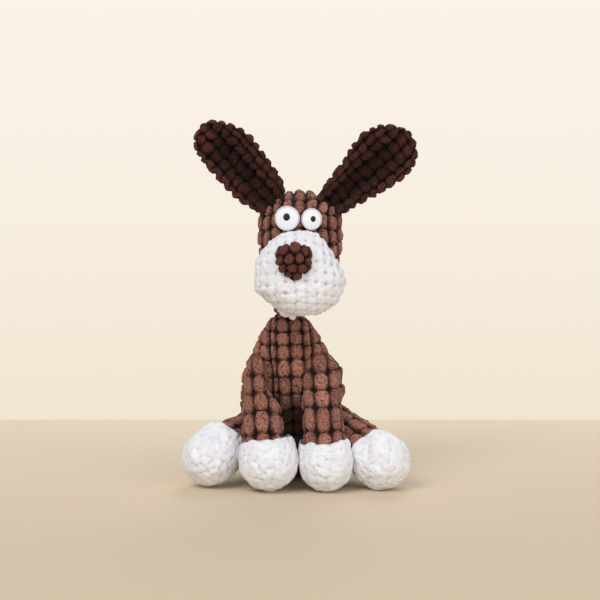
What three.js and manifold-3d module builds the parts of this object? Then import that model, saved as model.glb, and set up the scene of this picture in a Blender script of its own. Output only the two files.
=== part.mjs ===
// Squeaky plush dog toy, sitting with its four legs in front of it, in millimetres with +Z up.
// The toy faces -Y, so its own left side is +X. It rests on z = 0, and the origin is the middle of
// the flat under its seat. Covers are sewn from fleece whose pile stands up in rows of kernels:
// each form here is the hull over the tops of the kernels.

import * as THREE from 'three';
import { mergeVertices } from 'three/addons/utils/BufferGeometryUtils.js';
import Module from 'manifold-3d';

const wasm = await Module();
wasm.setup();

// Cloth and fit
const brownCloth = 4;
const whiteCloth = 3;
const earCloth = 4.5;
const noseCloth = 2.5;
const seamGap = 0.3;
const footCut = 0.5;
const overrun = 400;

// Torso: an upright sack that leans forward to the neck
const torsoHeight = 126;
const torsoHalfWidth = 37.6;
const torsoHalfDepth = 31;
const torsoLean = 13;
const torsoTopAside = -3.6;
const torsoBellyAside = 2.5;
const chestPanelWidth = 30;
const torsoShares = [0, 0.55, 0.84, 0.97, 1, 1, 0.91, 0.68, 0.47, 0.24, 0];

// Neck: a small stuffed ball between torso and head
const neckRadius = 12;
const neckRise = 5;
const neckTurn = [-35, 35];

// Head: a broad crown with a flat top
const headHeight = 79;
const headHalfWidth = 32;
const headHalfDepth = 27;
const headAboveNeck = 3;
const headAside = 9.5;
const headBack = 3;
const headNod = [-15, 12];
const headShares = [0, 0.35, 0.62, 0.82, 0.93, 0.99, 1, 0.96, 0.8, 0.48, 0];

// Muzzle: an upright egg, widest low down
const muzzleHeight = 61;
const muzzleHalfWidth = 33;
const muzzleHalfDepth = 26;
const muzzleDrop = 10.6;
const muzzleReach = 32;
const muzzleLean = 3;
const muzzleShares = [0, 0.34, 0.62, 0.87, 1, 0.96, 0.86, 0.71, 0.5, 0.26, 0];

// Nose: a dark button with a pointed lower end
const noseHeight = 27.5;
const noseHalfWidth = 13;
const noseHalfDepth = 10;
const noseAside = -4.4;
const noseHeightShare = 0.62;
const noseShares = [0, 0.24, 0.48, 0.72, 0.9, 1, 1, 0.92, 0.75, 0.42, 0];

// Eyes: embroidered patches with a raised stitched edge and a small black pupil
const eyePatchThickness = 1.2;
const eyeEdgeWidth = 1.4;
const eyeEdgeThickness = 2;
const pupilThickness = 2;
const eyes = {
  left: { aside: 8.2, rise: 58, halfWidth: 7.3, halfHeight: 7.6, pupilAside: 0.9, pupilHalf: 1.9 },
  right: { aside: -9.2, rise: 58.5, halfWidth: 8.9, halfHeight: 8.8, pupilAside: -0.3, pupilHalf: 2.3 },
};

// Ears: two cupped layers of dark fleece, rolled forward at the edge next to the crown
const earRootHalfWidth = 13;
const earOuterCup = 5;
const earInnerCup = 11;
const earCurl = 6;
const earFlop = [-35, 60];
const ears = {
  left: { side: 1, aside: 22.5, rise: 69, lean: 48, length: 74, halfWidth: 21.8 },
  right: { side: -1, aside: -21, rise: 70, lean: 42, length: 70, halfWidth: 21.5 },
};
const earWidthShares = [0.64, 0.65, 0.68, 0.75, 0.86, 0.95, 1, 1, 0.92, 0.65, 0];
const earThicknessShares = [0.15, 0.9, 1, 1, 1, 1, 1, 1, 0.9, 0.65, 0];

// Legs: tubes of brown fleece that end in balls of white fleece
const frontPawHalfHeight = 20.5;
const frontPawReach = 56;
const pawsMeet = 5.2;
const shoulderHeightShare = 0.72;
const shoulderTurn = 50;
const shoulderSink = 3;
const frontAnkleRise = 14.5;
const frontSwing = [0, 70];
const hipSpread = 27;
const hipHeight = 38;
const hipBack = 2;
const hindAnkleRise = 10;
const hindSpread = [0, 40];
const legRoom = 0.8;
const frontLegs = {
  left: { side: 1, rootRadius: 12.6, ankleRadius: 16.3, pawRadius: 18.7 },
  right: { side: -1, rootRadius: 12.4, ankleRadius: 16.5, pawRadius: 21.4 },
};
const hindLegs = {
  left: { side: 1, rootRadius: 20, ankleRadius: 18.5, pawRadius: 20.6, reach: 48 },
  right: { side: -1, rootRadius: 18, ankleRadius: 18, pawRadius: 20.4, reach: 40 },
};
const pawShares = [0, 0.4, 0.68, 0.87, 0.98, 1, 0.98, 0.87, 0.68, 0.4, 0];

// Squeaker: a hollow plastic disc with its reed in a plug on the front face
const bladderRadius = 17;
const bladderThickness = 22;
const bladderWall = 0.8;
const bladderEdge = 5;
const squeakerHeight = 70;
const plugRadius = 4;
const plugBore = 2.6;
const plugLength = 9;
const flangeRadius = 6;
const flangeThickness = 1;
const reedLength = 8;
const reedWidth = 4;
const reedThickness = 0.4;

// Divisions of the meshes
const coverSides = 16;
const coverRings = 9;
const limbSides = 12;
const innerSides = 8;
const innerRings = 6;
const earSides = 12;
const earRings = 8;
const ballSides = 12;
const neckSides = 16;
const latheSides = 16;
const eyeSides = 8;

const RIGHT_ANGLE = Math.PI / 2;
const ACROSS = new THREE.Vector3(1, 0, 0);
const FORWARD = new THREE.Vector3(0, -1, 0);
const UP = new THREE.Vector3(0, 0, 1);
const radians = THREE.MathUtils.degToRad;
const vec = (x, y, z) => new THREE.Vector3(x, y, z);

// Solids: a closed mesh goes in, is joined or cut, and comes out as a geometry again
function solidOf(geometry) {
  const bare = geometry.clone();
  bare.deleteAttribute('normal');
  bare.deleteAttribute('uv');
  const merged = mergeVertices(bare);
  return new wasm.Manifold(new wasm.Mesh({
    numProp: 3,
    vertProperties: new Float32Array(merged.attributes.position.array),
    triVerts: new Uint32Array(merged.index.array),
  }));
}

function geometryOf(solid) {
  const mesh = solid.getMesh();
  const geometry = new THREE.BufferGeometry();
  geometry.setAttribute('position', new THREE.BufferAttribute(mesh.vertProperties, mesh.numProp));
  geometry.setIndex(new THREE.BufferAttribute(mesh.triVerts, 1));
  return geometry;
}

function moved(solid, matrix) {
  return solidOf(geometryOf(solid).applyMatrix4(matrix));
}

function cut(solid, ...tools) {
  return tools.reduce((left, tool) => left.subtract(tool), solid);
}

// The largest body that a cut leaves, without the crumbs beside it
function withoutOffcuts(solid) {
  return solid.decompose().reduce((best, body) => (body.volume() > best.volume() ? body : best));
}

function signedVolume(points, faces) {
  return faces.reduce((sum, [a, b, c]) => {
    const normal = points[b].clone().cross(points[c]);
    return sum + points[a].dot(normal);
  }, 0);
}

// A closed skin over rings of points, with a fan to the middle of the first and the last ring
function loft(rings) {
  const sides = rings[0].length;
  const points = rings.flat();
  const faces = [];
  for (let ring = 1; ring < rings.length; ring += 1) {
    for (let side = 0; side < sides; side += 1) {
      const next = (side + 1) % sides;
      const low = (ring - 1) * sides;
      const high = ring * sides;
      faces.push([low + side, low + next, high + next], [low + side, high + next, high + side]);
    }
  }
  const middle = (ring) => ring.reduce((sum, point) => sum.add(point), vec(0, 0, 0)).divideScalar(sides);
  const first = points.push(middle(rings[0])) - 1;
  const last = points.push(middle(rings[rings.length - 1])) - 1;
  const top = (rings.length - 1) * sides;
  for (let side = 0; side < sides; side += 1) {
    const next = (side + 1) % sides;
    faces.push([first, next, side], [last, top + side, top + next]);
  }
  if (signedVolume(points, faces) < 0) {
    faces.forEach((face) => face.reverse());
  }
  const geometry = new THREE.BufferGeometry();
  geometry.setFromPoints(points);
  geometry.setIndex(faces.flat());
  return solidOf(geometry);
}

// A row of shares as a smooth function of where it is read, from 0 at the first to 1 at the last
function smoothRow(shares) {
  const curve = new THREE.SplineCurve(shares.map((share, index) => new THREE.Vector2(index, share)));
  return (place) => Math.max(curve.getPoint(place).y, 0);
}

// A stuffed form: ellipses along a spine, whose half sizes run from a first to a last value and
// follow a girth from 0 to 1. The rings lie closer together towards both ends, so that a girth
// of zero there makes a round end. A form can be grown or shrunk all round by a length.
function stuffedForm({ spine, halfWidths, halfDepths, girth, coverDivisions = coverSides }) {
  const point = (phi, turn, grow = 0) => {
    const along = (1 - Math.cos(phi)) / 2;
    const tangent = spine.getTangentAt(along);
    const centre = spine.getPointAt(along).addScaledVector(tangent, -Math.cos(phi) * grow);
    const side = ACROSS.clone().addScaledVector(tangent, -ACROSS.dot(tangent)).normalize();
    const depth = tangent.clone().cross(side);
    const share = girth(phi / Math.PI);
    const width = (THREE.MathUtils.lerp(...halfWidths, along) + grow) * share;
    const thickness = (THREE.MathUtils.lerp(...halfDepths, along) + grow) * share;
    return centre
      .addScaledVector(side, width * Math.cos(turn))
      .addScaledVector(depth, thickness * Math.sin(turn));
  };
  const roundEnd = (place) => (girth(place) === 0 ? 1 : 0);
  const solid = (grow, sides, rings) => {
    const first = roundEnd(0);
    const last = rings - roundEnd(1);
    const sections = [];
    for (let ring = first; ring <= last; ring += 1) {
      const phi = (ring / rings) * Math.PI;
      const section = [];
      for (let side = 0; side < sides; side += 1) {
        section.push(point(phi, (side / sides) * 2 * Math.PI, grow));
      }
      sections.push(section);
    }
    if (first) {
      sections.unshift(sections[0].map(() => point(0, 0, grow)));
    }
    if (last < rings) {
      sections.push(sections[0].map(() => point(Math.PI, 0, grow)));
    }
    return loft(sections);
  };
  return {
    point,
    outer: (grow = 0) => solid(grow, coverDivisions, coverRings),
    inner: (grow) => solid(grow, innerSides, innerRings),
  };
}

// The shell of cloth over a form, and the stuffing that fills it
function clothShell(form, cloth) {
  return form.outer().subtract(form.inner(-cloth));
}

function stuffingIn(form, cloth) {
  return form.inner(-cloth - seamGap);
}

function block(low, high) {
  const size = high.clone().sub(low);
  const geometry = new THREE.BoxGeometry(size.x, size.y, size.z);
  geometry.translate(...low.clone().add(high).divideScalar(2).toArray());
  return solidOf(geometry);
}

// Everything on one side of a plane through a point
function halfSpace(place, direction) {
  const geometry = new THREE.BoxGeometry(2 * overrun, 2 * overrun, overrun);
  geometry.translate(0, 0, overrun / 2);
  geometry.applyQuaternion(new THREE.Quaternion().setFromUnitVectors(UP, direction.clone().normalize()));
  geometry.translate(...place.toArray());
  return solidOf(geometry);
}

const floor = halfSpace(vec(0, 0, 0), UP.clone().negate());

function ball(centre, radius, sides = ballSides) {
  const geometry = new THREE.SphereGeometry(radius, sides, sides / 2);
  geometry.translate(...centre.toArray());
  return solidOf(geometry);
}

// A ball whose flat facets stay outside the radius, for the recess that a ball turns in
function recess(centre, radius, sides = ballSides) {
  return ball(centre, radius / Math.cos(Math.PI / sides) ** 2, sides);
}

function turnAbout(pivot, axis, degrees) {
  return new THREE.Matrix4()
    .makeTranslation(...pivot.toArray())
    .multiply(new THREE.Matrix4().makeRotationAxis(axis, radians(degrees)))
    .multiply(new THREE.Matrix4().makeTranslation(...pivot.clone().negate().toArray()));
}

// What is left of a moving piece once its still neighbour is cut from it at stops of its travel.
// Where the pivot lies in the neighbour's bulging side, both ends of the travel clear the rest.
function freeToTurn(piece, neighbour, pivot, axis, stops) {
  const blocked = stops.map((degrees) => moved(neighbour, turnAbout(pivot, axis, -degrees)));
  return withoutOffcuts(cut(piece, ...blocked));
}

// Materials
const finish = (color, roughness, extra = {}) => new THREE.MeshStandardMaterial({
  color, roughness, metalness: 0, flatShading: true, ...extra,
});
const brownFleece = finish(0x7c5246, 0.95);
const darkFleece = finish(0x321c18, 0.95);
const noseFleece = finish(0x49302a, 0.95);
const whiteFleece = finish(0xe2dedc, 0.95);
const eyeThread = finish(0xe5e0e3, 0.6);
const blackThread = finish(0x16151a, 0.5);
const fibrefill = finish(0xf2f1ec, 1);
const squeakerPlastic = finish(0xdfe6e8, 0.35);
const reedPlastic = finish(0xf5f5f0, 0.3);

// The scene graph: one group for each moving body, placed at its pivot
const toy = new THREE.Group();

function pivotGroup(parent, place) {
  const group = new THREE.Group();
  parent.updateWorldMatrix(true, false);
  group.position.copy(parent.worldToLocal(place.clone()));
  group.userData.place = place;
  parent.add(group);
  return group;
}

function add(group, name, solid, material) {
  const geometry = geometryOf(solid);
  geometry.translate(...group.userData.place.clone().negate().toArray());
  const mesh = new THREE.Mesh(geometry, material);
  mesh.name = name;
  group.add(mesh);
  return mesh;
}

const torsoBody = pivotGroup(toy, vec(0, 0, 0));

// Torso form
const torsoTop = vec(torsoTopAside, -torsoLean, torsoHeight);
const torso = stuffedForm({
  spine: new THREE.CubicBezierCurve3(
    vec(0, 0, -footCut),
    vec(0, 0, torsoHeight / 3),
    vec(torsoTopAside + torsoBellyAside, -torsoLean, torsoHeight * 2 / 3),
    torsoTop,
  ),
  halfWidths: [torsoHalfWidth, torsoHalfWidth],
  halfDepths: [torsoHalfDepth, torsoHalfDepth],
  girth: smoothRow(torsoShares),
});
const torsoGrown = torso.outer(seamGap);

// Neck form and its pivot
const neckPivot = torsoTop.clone().addScaledVector(UP, neckRise);
const neckRecess = recess(neckPivot, neckRadius + seamGap, neckSides);

// Head form
const headLow = vec(
  neckPivot.x + headAside,
  neckPivot.y + headBack,
  neckPivot.z + headAboveNeck,
);
const headTop = headLow.clone().addScaledVector(UP, headHeight);
const head = stuffedForm({
  spine: new THREE.LineCurve3(headLow, headTop),
  halfWidths: [headHalfWidth, headHalfWidth],
  halfDepths: [headHalfDepth, headHalfDepth],
  girth: smoothRow(headShares),
});
const headGrown = head.outer(seamGap);

// Muzzle form, in front of the lower half of the head
const muzzleLow = headLow.clone().add(vec(0, -muzzleReach - muzzleLean, -muzzleDrop));
const muzzleTop = muzzleLow.clone().add(vec(0, 2 * muzzleLean, muzzleHeight));
const muzzle = stuffedForm({
  spine: new THREE.LineCurve3(muzzleLow, muzzleTop),
  halfWidths: [muzzleHalfWidth, muzzleHalfWidth],
  halfDepths: [muzzleHalfDepth, muzzleHalfDepth],
  girth: smoothRow(muzzleShares),
});
const muzzleGrown = muzzle.outer(seamGap);

// Nose form, centred on the front of the muzzle
const noseMiddle = muzzle.point(Math.acos(1 - 2 * noseHeightShare), -RIGHT_ANGLE)
  .addScaledVector(ACROSS, noseAside);
const nose = stuffedForm({
  spine: new THREE.LineCurve3(
    noseMiddle.clone().addScaledVector(UP, -noseHeight / 2),
    noseMiddle.clone().addScaledVector(UP, noseHeight / 2),
  ),
  halfWidths: [noseHalfWidth, noseHalfWidth],
  halfDepths: [noseHalfDepth, noseHalfDepth],
  girth: smoothRow(noseShares),
  coverDivisions: limbSides,
});

// Front legs: a ball at the shoulder, a tube down to the ankle, and a white paw on the floor
function pawForm(centre, direction, halfHeight, radius) {
  return stuffedForm({
    spine: new THREE.LineCurve3(
      centre.clone().addScaledVector(direction, halfHeight),
      centre.clone().addScaledVector(direction, -halfHeight),
    ),
    halfWidths: [radius, radius],
    halfDepths: [radius, radius],
    girth: smoothRow(pawShares),
    coverDivisions: limbSides,
  });
}

// A paw centre at the height where the paw reaches as far below the floor as it is cut flat
function standing(centre, direction, halfHeight, radius) {
  const geometry = geometryOf(pawForm(centre, direction, halfHeight, radius).outer());
  geometry.computeBoundingBox();
  return centre.clone().addScaledVector(UP, -footCut - geometry.boundingBox.min.z);
}

// The girth of a tube whose first end is half a ball, given the ball's radius as a share of its length
function roundRoot(radiusShare) {
  return (place) => {
    const along = (1 - Math.cos(place * Math.PI)) / 2;
    const toPivot = Math.max(1 - along / radiusShare, 0);
    return Math.sqrt(1 - toPivot ** 2);
  };
}

function legForms({ pivot, pawPlace, pawHalfHeight, pawRadius, rootRadius, ankleRadius, ankleRise }) {
  const toes = pawPlace.clone().addScaledVector(UP, pawRadius).sub(pivot).normalize();
  const centre = standing(pawPlace, toes, pawHalfHeight, pawRadius);
  const direction = centre.clone().sub(pivot).normalize();
  const root = pivot.clone().addScaledVector(direction, -rootRadius);
  const length = centre.distanceTo(root);
  const tube = stuffedForm({
    spine: new THREE.LineCurve3(root, centre),
    halfWidths: [rootRadius, ankleRadius],
    halfDepths: [rootRadius, ankleRadius],
    girth: roundRoot(rootRadius / length),
    coverDivisions: limbSides,
  });
  return {
    pivot,
    direction,
    rootRadius,
    tube,
    paw: pawForm(centre, direction, pawHalfHeight, pawRadius),
    ankle: centre.clone().addScaledVector(direction, -ankleRise),
  };
}

function shoulderOf(side) {
  const height = Math.acos(1 - 2 * shoulderHeightShare);
  const place = torso.point(height, -RIGHT_ANGLE + side * radians(shoulderTurn));
  const spineAt = torso.point(height, -RIGHT_ANGLE, -torsoHalfDepth);
  const inward = vec(spineAt.x - place.x, spineAt.y - place.y, 0).normalize();
  return place.addScaledVector(inward, shoulderSink);
}

const frontPawAside = (side, radius) => pawsMeet + side * (radius + seamGap / 2);
const hindPawAside = (side) => frontPawAside(side, frontLegs[side > 0 ? 'left' : 'right'].pawRadius)
  + side * (frontLegs[side > 0 ? 'left' : 'right'].pawRadius + seamGap);

function frontLegForms({ side, rootRadius, ankleRadius, pawRadius }) {
  return legForms({
    pivot: shoulderOf(side),
    pawPlace: vec(frontPawAside(side, pawRadius), -frontPawReach, 0),
    pawHalfHeight: frontPawHalfHeight,
    pawRadius,
    rootRadius,
    ankleRadius,
    ankleRise: frontAnkleRise,
  });
}

function hindLegForms({ side, rootRadius, ankleRadius, pawRadius, reach }) {
  return legForms({
    pivot: vec(side * hipSpread, -hipBack, hipHeight),
    pawPlace: vec(hindPawAside(side) + side * pawRadius, -reach, 0),
    pawHalfHeight: pawRadius,
    pawRadius,
    rootRadius,
    ankleRadius,
    ankleRise: hindAnkleRise,
  });
}

const legs = {
  left_front: frontLegForms(frontLegs.left),
  right_front: frontLegForms(frontLegs.right),
  left_hind: hindLegForms(hindLegs.left),
  right_hind: hindLegForms(hindLegs.right),
};
for (const [front, hind] of [[legs.left_front, legs.left_hind], [legs.right_front, legs.right_hind]]) {
  front.range = frontSwing;
  front.swing = ACROSS.clone().negate();
  front.beside = [];
  hind.range = hindSpread;
  hind.swing = UP.clone().multiplyScalar(Math.sign(hind.direction.x));
  hind.beside = [front.tube.outer(seamGap), front.paw.outer(seamGap)];
}

// Torso: three panels of fleece round a front and a back half of stuffing, which hold the squeaker
const limbRecesses = Object.values(legs).map((leg) => recess(leg.pivot, leg.rootRadius + legRoom));
const squeakerLevel = torso.point(Math.acos(1 - 2 * squeakerHeight / torsoHeight), 0);
const squeakerCentre = vec(0, squeakerLevel.y, squeakerHeight);
const torsoShell = cut(clothShell(torso, brownCloth), floor, ...limbRecesses);
const chestStrip = (width) => block(
  vec(-width / 2, -overrun, -overrun),
  vec(width / 2, 0, overrun),
);
const sideOf = (side, place) => halfSpace(
  place.clone().addScaledVector(ACROSS, side * seamGap / 2),
  vec(side, 0, 0),
);
add(torsoBody, 'torso_chest_panel', torsoShell.intersect(chestStrip(chestPanelWidth)), brownFleece);
for (const [name, side] of [['left', 1], ['right', -1]]) {
  const panel = cut(torsoShell, chestStrip(chestPanelWidth + 2 * seamGap));
  add(torsoBody, `torso_${name}_side_panel`, panel.intersect(sideOf(side, vec(0, 0, 0))), brownFleece);
}

// Squeaker parts, turned about the Y axis
function turned(outline) {
  const geometry = new THREE.LatheGeometry(outline.map(([r, y]) => new THREE.Vector2(r, y)), latheSides);
  geometry.translate(...squeakerCentre.toArray());
  return solidOf(geometry);
}

// Outlines run along Y, from the front face of the disc to its back face
function discOutline(grow) {
  const r = bladderRadius + grow;
  const half = bladderThickness / 2 + grow;
  const edge = bladderEdge;
  const slant = edge * (1 - Math.SQRT1_2);
  return [
    [r - edge, -half],
    [r - slant, slant - half],
    [r, edge - half],
    [r, half - edge],
    [r - slant, half - slant],
    [r - edge, half],
    [0, half],
  ];
}
const mouthRadius = plugRadius + seamGap;
const bladderOutline = [
  [mouthRadius, -bladderThickness / 2],
  ...discOutline(0),
  ...discOutline(-bladderWall).reverse(),
  [mouthRadius, bladderWall - bladderThickness / 2],
  [mouthRadius, -bladderThickness / 2],
];
const bladderSpace = turned([[0, -bladderThickness / 2 - seamGap], ...discOutline(seamGap)]);
const flangeBack = -bladderThickness / 2 - seamGap;
const flangeFront = flangeBack - flangeThickness;
const flangeSpace = turned([
  [0, flangeFront - seamGap],
  [flangeRadius + seamGap, flangeFront - seamGap],
  [flangeRadius + seamGap, 0],
  [0, 0],
]);
const stuffingBody = cut(
  stuffingIn(torso, brownCloth),
  halfSpace(vec(0, 0, brownCloth + seamGap - footCut), UP.clone().negate()),
  bladderSpace,
  flangeSpace,
  ...limbRecesses,
);
for (const [name, side] of [['front', 1], ['back', -1]]) {
  const direction = FORWARD.clone().multiplyScalar(side);
  const place = squeakerCentre.clone().addScaledVector(direction, seamGap / 2);
  const half = stuffingBody.intersect(halfSpace(place, direction));
  add(torsoBody, `torso_stuffing_${name}`, half, fibrefill);
}
add(torsoBody, 'squeaker_bladder', turned(bladderOutline), squeakerPlastic);

const plugBody = pivotGroup(torsoBody, squeakerCentre.clone().addScaledVector(FORWARD, bladderThickness / 2));
add(plugBody, 'squeaker_reed_plug', turned([
  [plugBore, flangeFront],
  [flangeRadius, flangeFront],
  [flangeRadius, flangeBack],
  [plugRadius, flangeBack],
  [plugRadius, flangeFront + plugLength],
  [plugBore, flangeFront + plugLength],
  [plugBore, flangeFront],
]), squeakerPlastic);
const reedFront = flangeFront + (plugLength - reedLength) / 2;
add(plugBody, 'squeaker_reed', block(
  squeakerCentre.clone().add(vec(-reedWidth / 2, reedFront, -reedThickness / 2)),
  squeakerCentre.clone().add(vec(reedWidth / 2, reedFront + reedLength, reedThickness / 2)),
), reedPlastic);

// Neck
const neckBody = pivotGroup(torsoBody, neckPivot);
const neckRoom = (solid) => freeToTurn(solid, torsoGrown, neckPivot, UP, [0, ...neckTurn]);
const neckMouth = halfSpace(vec(0, 0, neckPivot.z + neckRadius / 2), UP);
const neckSkin = ball(neckPivot, neckRadius, neckSides).subtract(ball(neckPivot, neckRadius - brownCloth));
add(neckBody, 'neck_cover', cut(neckRoom(neckSkin), neckMouth), brownFleece);
add(neckBody, 'neck_stuffing', neckRoom(ball(neckPivot, neckRadius - brownCloth - seamGap)), fibrefill);

// Head: two face panels that meet in the middle of the forehead, and a back panel
const headBody = pivotGroup(neckBody, neckPivot);

// Ear forms: each layer is a cupped sheet that is flat on one side and domed on the other
function earFrame({ side, aside, rise, lean }) {
  const direction = UP.clone().applyAxisAngle(FORWARD, radians(-side * lean));
  const across = direction.clone().cross(FORWARD).multiplyScalar(side);
  const wanted = headLow.clone().add(vec(aside, 0, rise));
  return { direction, across, pivot: wanted };
}

function earLayer(ear, face) {
  const { side, length, halfWidth } = ear;
  const { direction, across, pivot } = earFrame(ear);
  const widthAt = smoothRow(earWidthShares);
  const thicknessAt = smoothRow(earThicknessShares);
  const whole = length + earCloth;
  const sections = [];
  for (let ring = 0; ring < earRings; ring += 1) {
    const place = ring / earRings;
    const along = (1 - Math.cos(place * Math.PI)) / 2;
    const width = halfWidth * widthAt(place);
    const thickness = earCloth * thicknessAt(place);
    const section = [];
    for (let step = 0; step < earSides; step += 1) {
      const turn = (step / earSides) * 2 * Math.PI;
      const aside = Math.cos(turn);
      const cup = (aside > 0 ? earOuterCup : earInnerCup) * aside ** 2 * along;
      const dome = seamGap / 2 + thickness * Math.max(Math.sin(turn), 0);
      section.push(pivot.clone()
        .addScaledVector(direction, whole * along - earCloth)
        .addScaledVector(across, width * aside)
        .addScaledVector(FORWARD, cup + earCurl * along ** 2 + face * dome));
    }
    sections.push(section);
  }
  const tip = pivot.clone().addScaledVector(direction, length).addScaledVector(FORWARD, earCurl);
  sections.push(sections[0].map(() => tip.clone().addScaledVector(FORWARD, face * seamGap / 2)));
  return loft(sections);
}

function rootBead(ear, radius, halfLength) {
  const { across, pivot } = earFrame(ear);
  const geometry = new THREE.CylinderGeometry(radius, radius, 2 * halfLength, ballSides);
  geometry.applyQuaternion(new THREE.Quaternion().setFromUnitVectors(vec(0, 1, 0), across));
  geometry.translate(...pivot.toArray());
  return solidOf(geometry);
}
const earGrooves = Object.values(ears).map((ear) => rootBead(
  ear,
  (earCloth + 2 * seamGap) / Math.cos(Math.PI / ballSides),
  earRootHalfWidth + 2 * seamGap,
));

const headShell = cut(clothShell(head, brownCloth), neckRecess, ...earGrooves);
const facePart = halfSpace(headLow.clone().addScaledVector(FORWARD, seamGap / 2), FORWARD);
const backPart = halfSpace(headLow.clone().addScaledVector(FORWARD, -seamGap / 2), FORWARD.clone().negate());
for (const [name, side] of [['left', 1], ['right', -1]]) {
  const half = headShell.intersect(facePart).intersect(sideOf(side, headLow));
  add(headBody, `head_${name}_face_panel`, half, brownFleece);
}
add(headBody, 'head_back_panel', headShell.intersect(backPart), brownFleece);
add(headBody, 'head_stuffing', cut(stuffingIn(head, brownCloth), neckRecess, ...earGrooves), fibrefill);

// Muzzle: two panels that meet below the nose, open towards the head, with stuffing of their own
const muzzleShell = cut(clothShell(muzzle, whiteCloth), headGrown, neckRecess);
for (const [name, side] of [['left', 1], ['right', -1]]) {
  add(headBody, `muzzle_${name}_panel`, muzzleShell.intersect(sideOf(side, noseMiddle)), whiteFleece);
}
add(headBody, 'muzzle_stuffing', cut(stuffingIn(muzzle, whiteCloth), headGrown, neckRecess), fibrefill);

// Nose
add(headBody, 'nose_cover', clothShell(nose, noseCloth).subtract(muzzleGrown), noseFleece);
add(headBody, 'nose_stuffing', stuffingIn(nose, noseCloth).subtract(muzzleGrown), fibrefill);

// Eyes: upright prisms through the face, cut to the skin of the head
function eyePrism(eye, inset, aside) {
  const outline = new THREE.Shape();
  outline.absellipse(0, 0, eye.halfWidth - inset, eye.halfHeight - inset, 0, 2 * Math.PI);
  return facing(outline, headLow.clone().add(vec(eye.aside + aside, 0, eye.rise)));
}

function facing(outline, place) {
  const geometry = new THREE.ExtrudeGeometry(outline, {
    depth: overrun,
    bevelEnabled: false,
    curveSegments: eyeSides,
  });
  geometry.rotateX(RIGHT_ANGLE);
  geometry.translate(...place.toArray());
  return solidOf(geometry);
}

function skinOver(from, thickness) {
  return head.outer(from + thickness).subtract(head.outer(from));
}

for (const [name, eye] of Object.entries(eyes)) {
  const pupilOutline = new THREE.Shape();
  pupilOutline.absellipse(0, 0, eye.pupilHalf, eye.pupilHalf, 0, 2 * Math.PI);
  const pupilPlace = headLow.clone().add(vec(eye.aside + eye.pupilAside, 0, eye.rise + eye.pupilHalf / 2));
  const pupilHole = new THREE.Shape();
  pupilHole.absellipse(0, 0, eye.pupilHalf + seamGap, eye.pupilHalf + seamGap, 0, 2 * Math.PI);
  const patch = eyePrism(eye, eyeEdgeWidth + seamGap, 0).intersect(skinOver(seamGap, eyePatchThickness));
  add(headBody, `${name}_eye_patch`, cut(patch, facing(pupilHole, pupilPlace), muzzleGrown), eyeThread);
  const edge = cut(eyePrism(eye, 0, 0), eyePrism(eye, eyeEdgeWidth, 0))
    .intersect(skinOver(seamGap, eyeEdgeThickness));
  add(headBody, `${name}_eye_edge_stitch`, cut(edge, muzzleGrown), eyeThread);
  const pupil = facing(pupilOutline, pupilPlace).intersect(skinOver(seamGap, pupilThickness));
  add(headBody, `${name}_pupil`, pupil, blackThread);
}

// Ears
for (const [name, ear] of Object.entries(ears)) {
  const { across, pivot } = earFrame(ear);
  const earBody = pivotGroup(headBody, pivot);
  const hinge = across.clone().multiplyScalar(ear.side);
  const room = headGrown.subtract(rootBead(ear, earCloth + seamGap, earRootHalfWidth + seamGap));
  for (const [layer, face] of [['front', 1], ['back', -1]]) {
    const solid = freeToTurn(earLayer(ear, face), room, pivot, hinge, [0, ...earFlop]);
    add(earBody, `${name}_ear_${layer}`, solid, darkFleece);
  }
}

// Legs
for (const [name, leg] of Object.entries(legs)) {
  const legBody = pivotGroup(torsoBody, leg.pivot);
  const room = torso.outer(legRoom).subtract(recess(leg.pivot, leg.rootRadius));
  const [rest, far] = leg.range;
  const free = (solid) => freeToTurn(solid, room, leg.pivot, leg.swing, [rest, (rest + far) / 2, far]);
  const towardsPaw = halfSpace(leg.ankle.clone().addScaledVector(leg.direction, -seamGap / 2), leg.direction);
  const towardsLeg = halfSpace(
    leg.ankle.clone().addScaledVector(leg.direction, seamGap / 2),
    leg.direction.clone().negate(),
  );
  const hollow = leg.tube.inner(-brownCloth);
  const legCover = cut(leg.tube.outer(), hollow, towardsPaw, torso.inner(-brownCloth), ...leg.beside);
  add(legBody, `${name}_leg_cover`, free(legCover), brownFleece);
  const pawCover = cut(clothShell(leg.paw, whiteCloth), towardsLeg, floor, hollow);
  add(legBody, `${name}_paw_cover`, pawCover, whiteFleece);
  const fill = stuffingIn(leg.tube, brownCloth).add(cut(stuffingIn(leg.paw, whiteCloth), towardsLeg));
  add(legBody, `${name}_leg_stuffing`, free(fill), fibrefill);
}

export default toy;
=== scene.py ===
import math
from math import pi
from collections import namedtuple
from itertools import product

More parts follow.
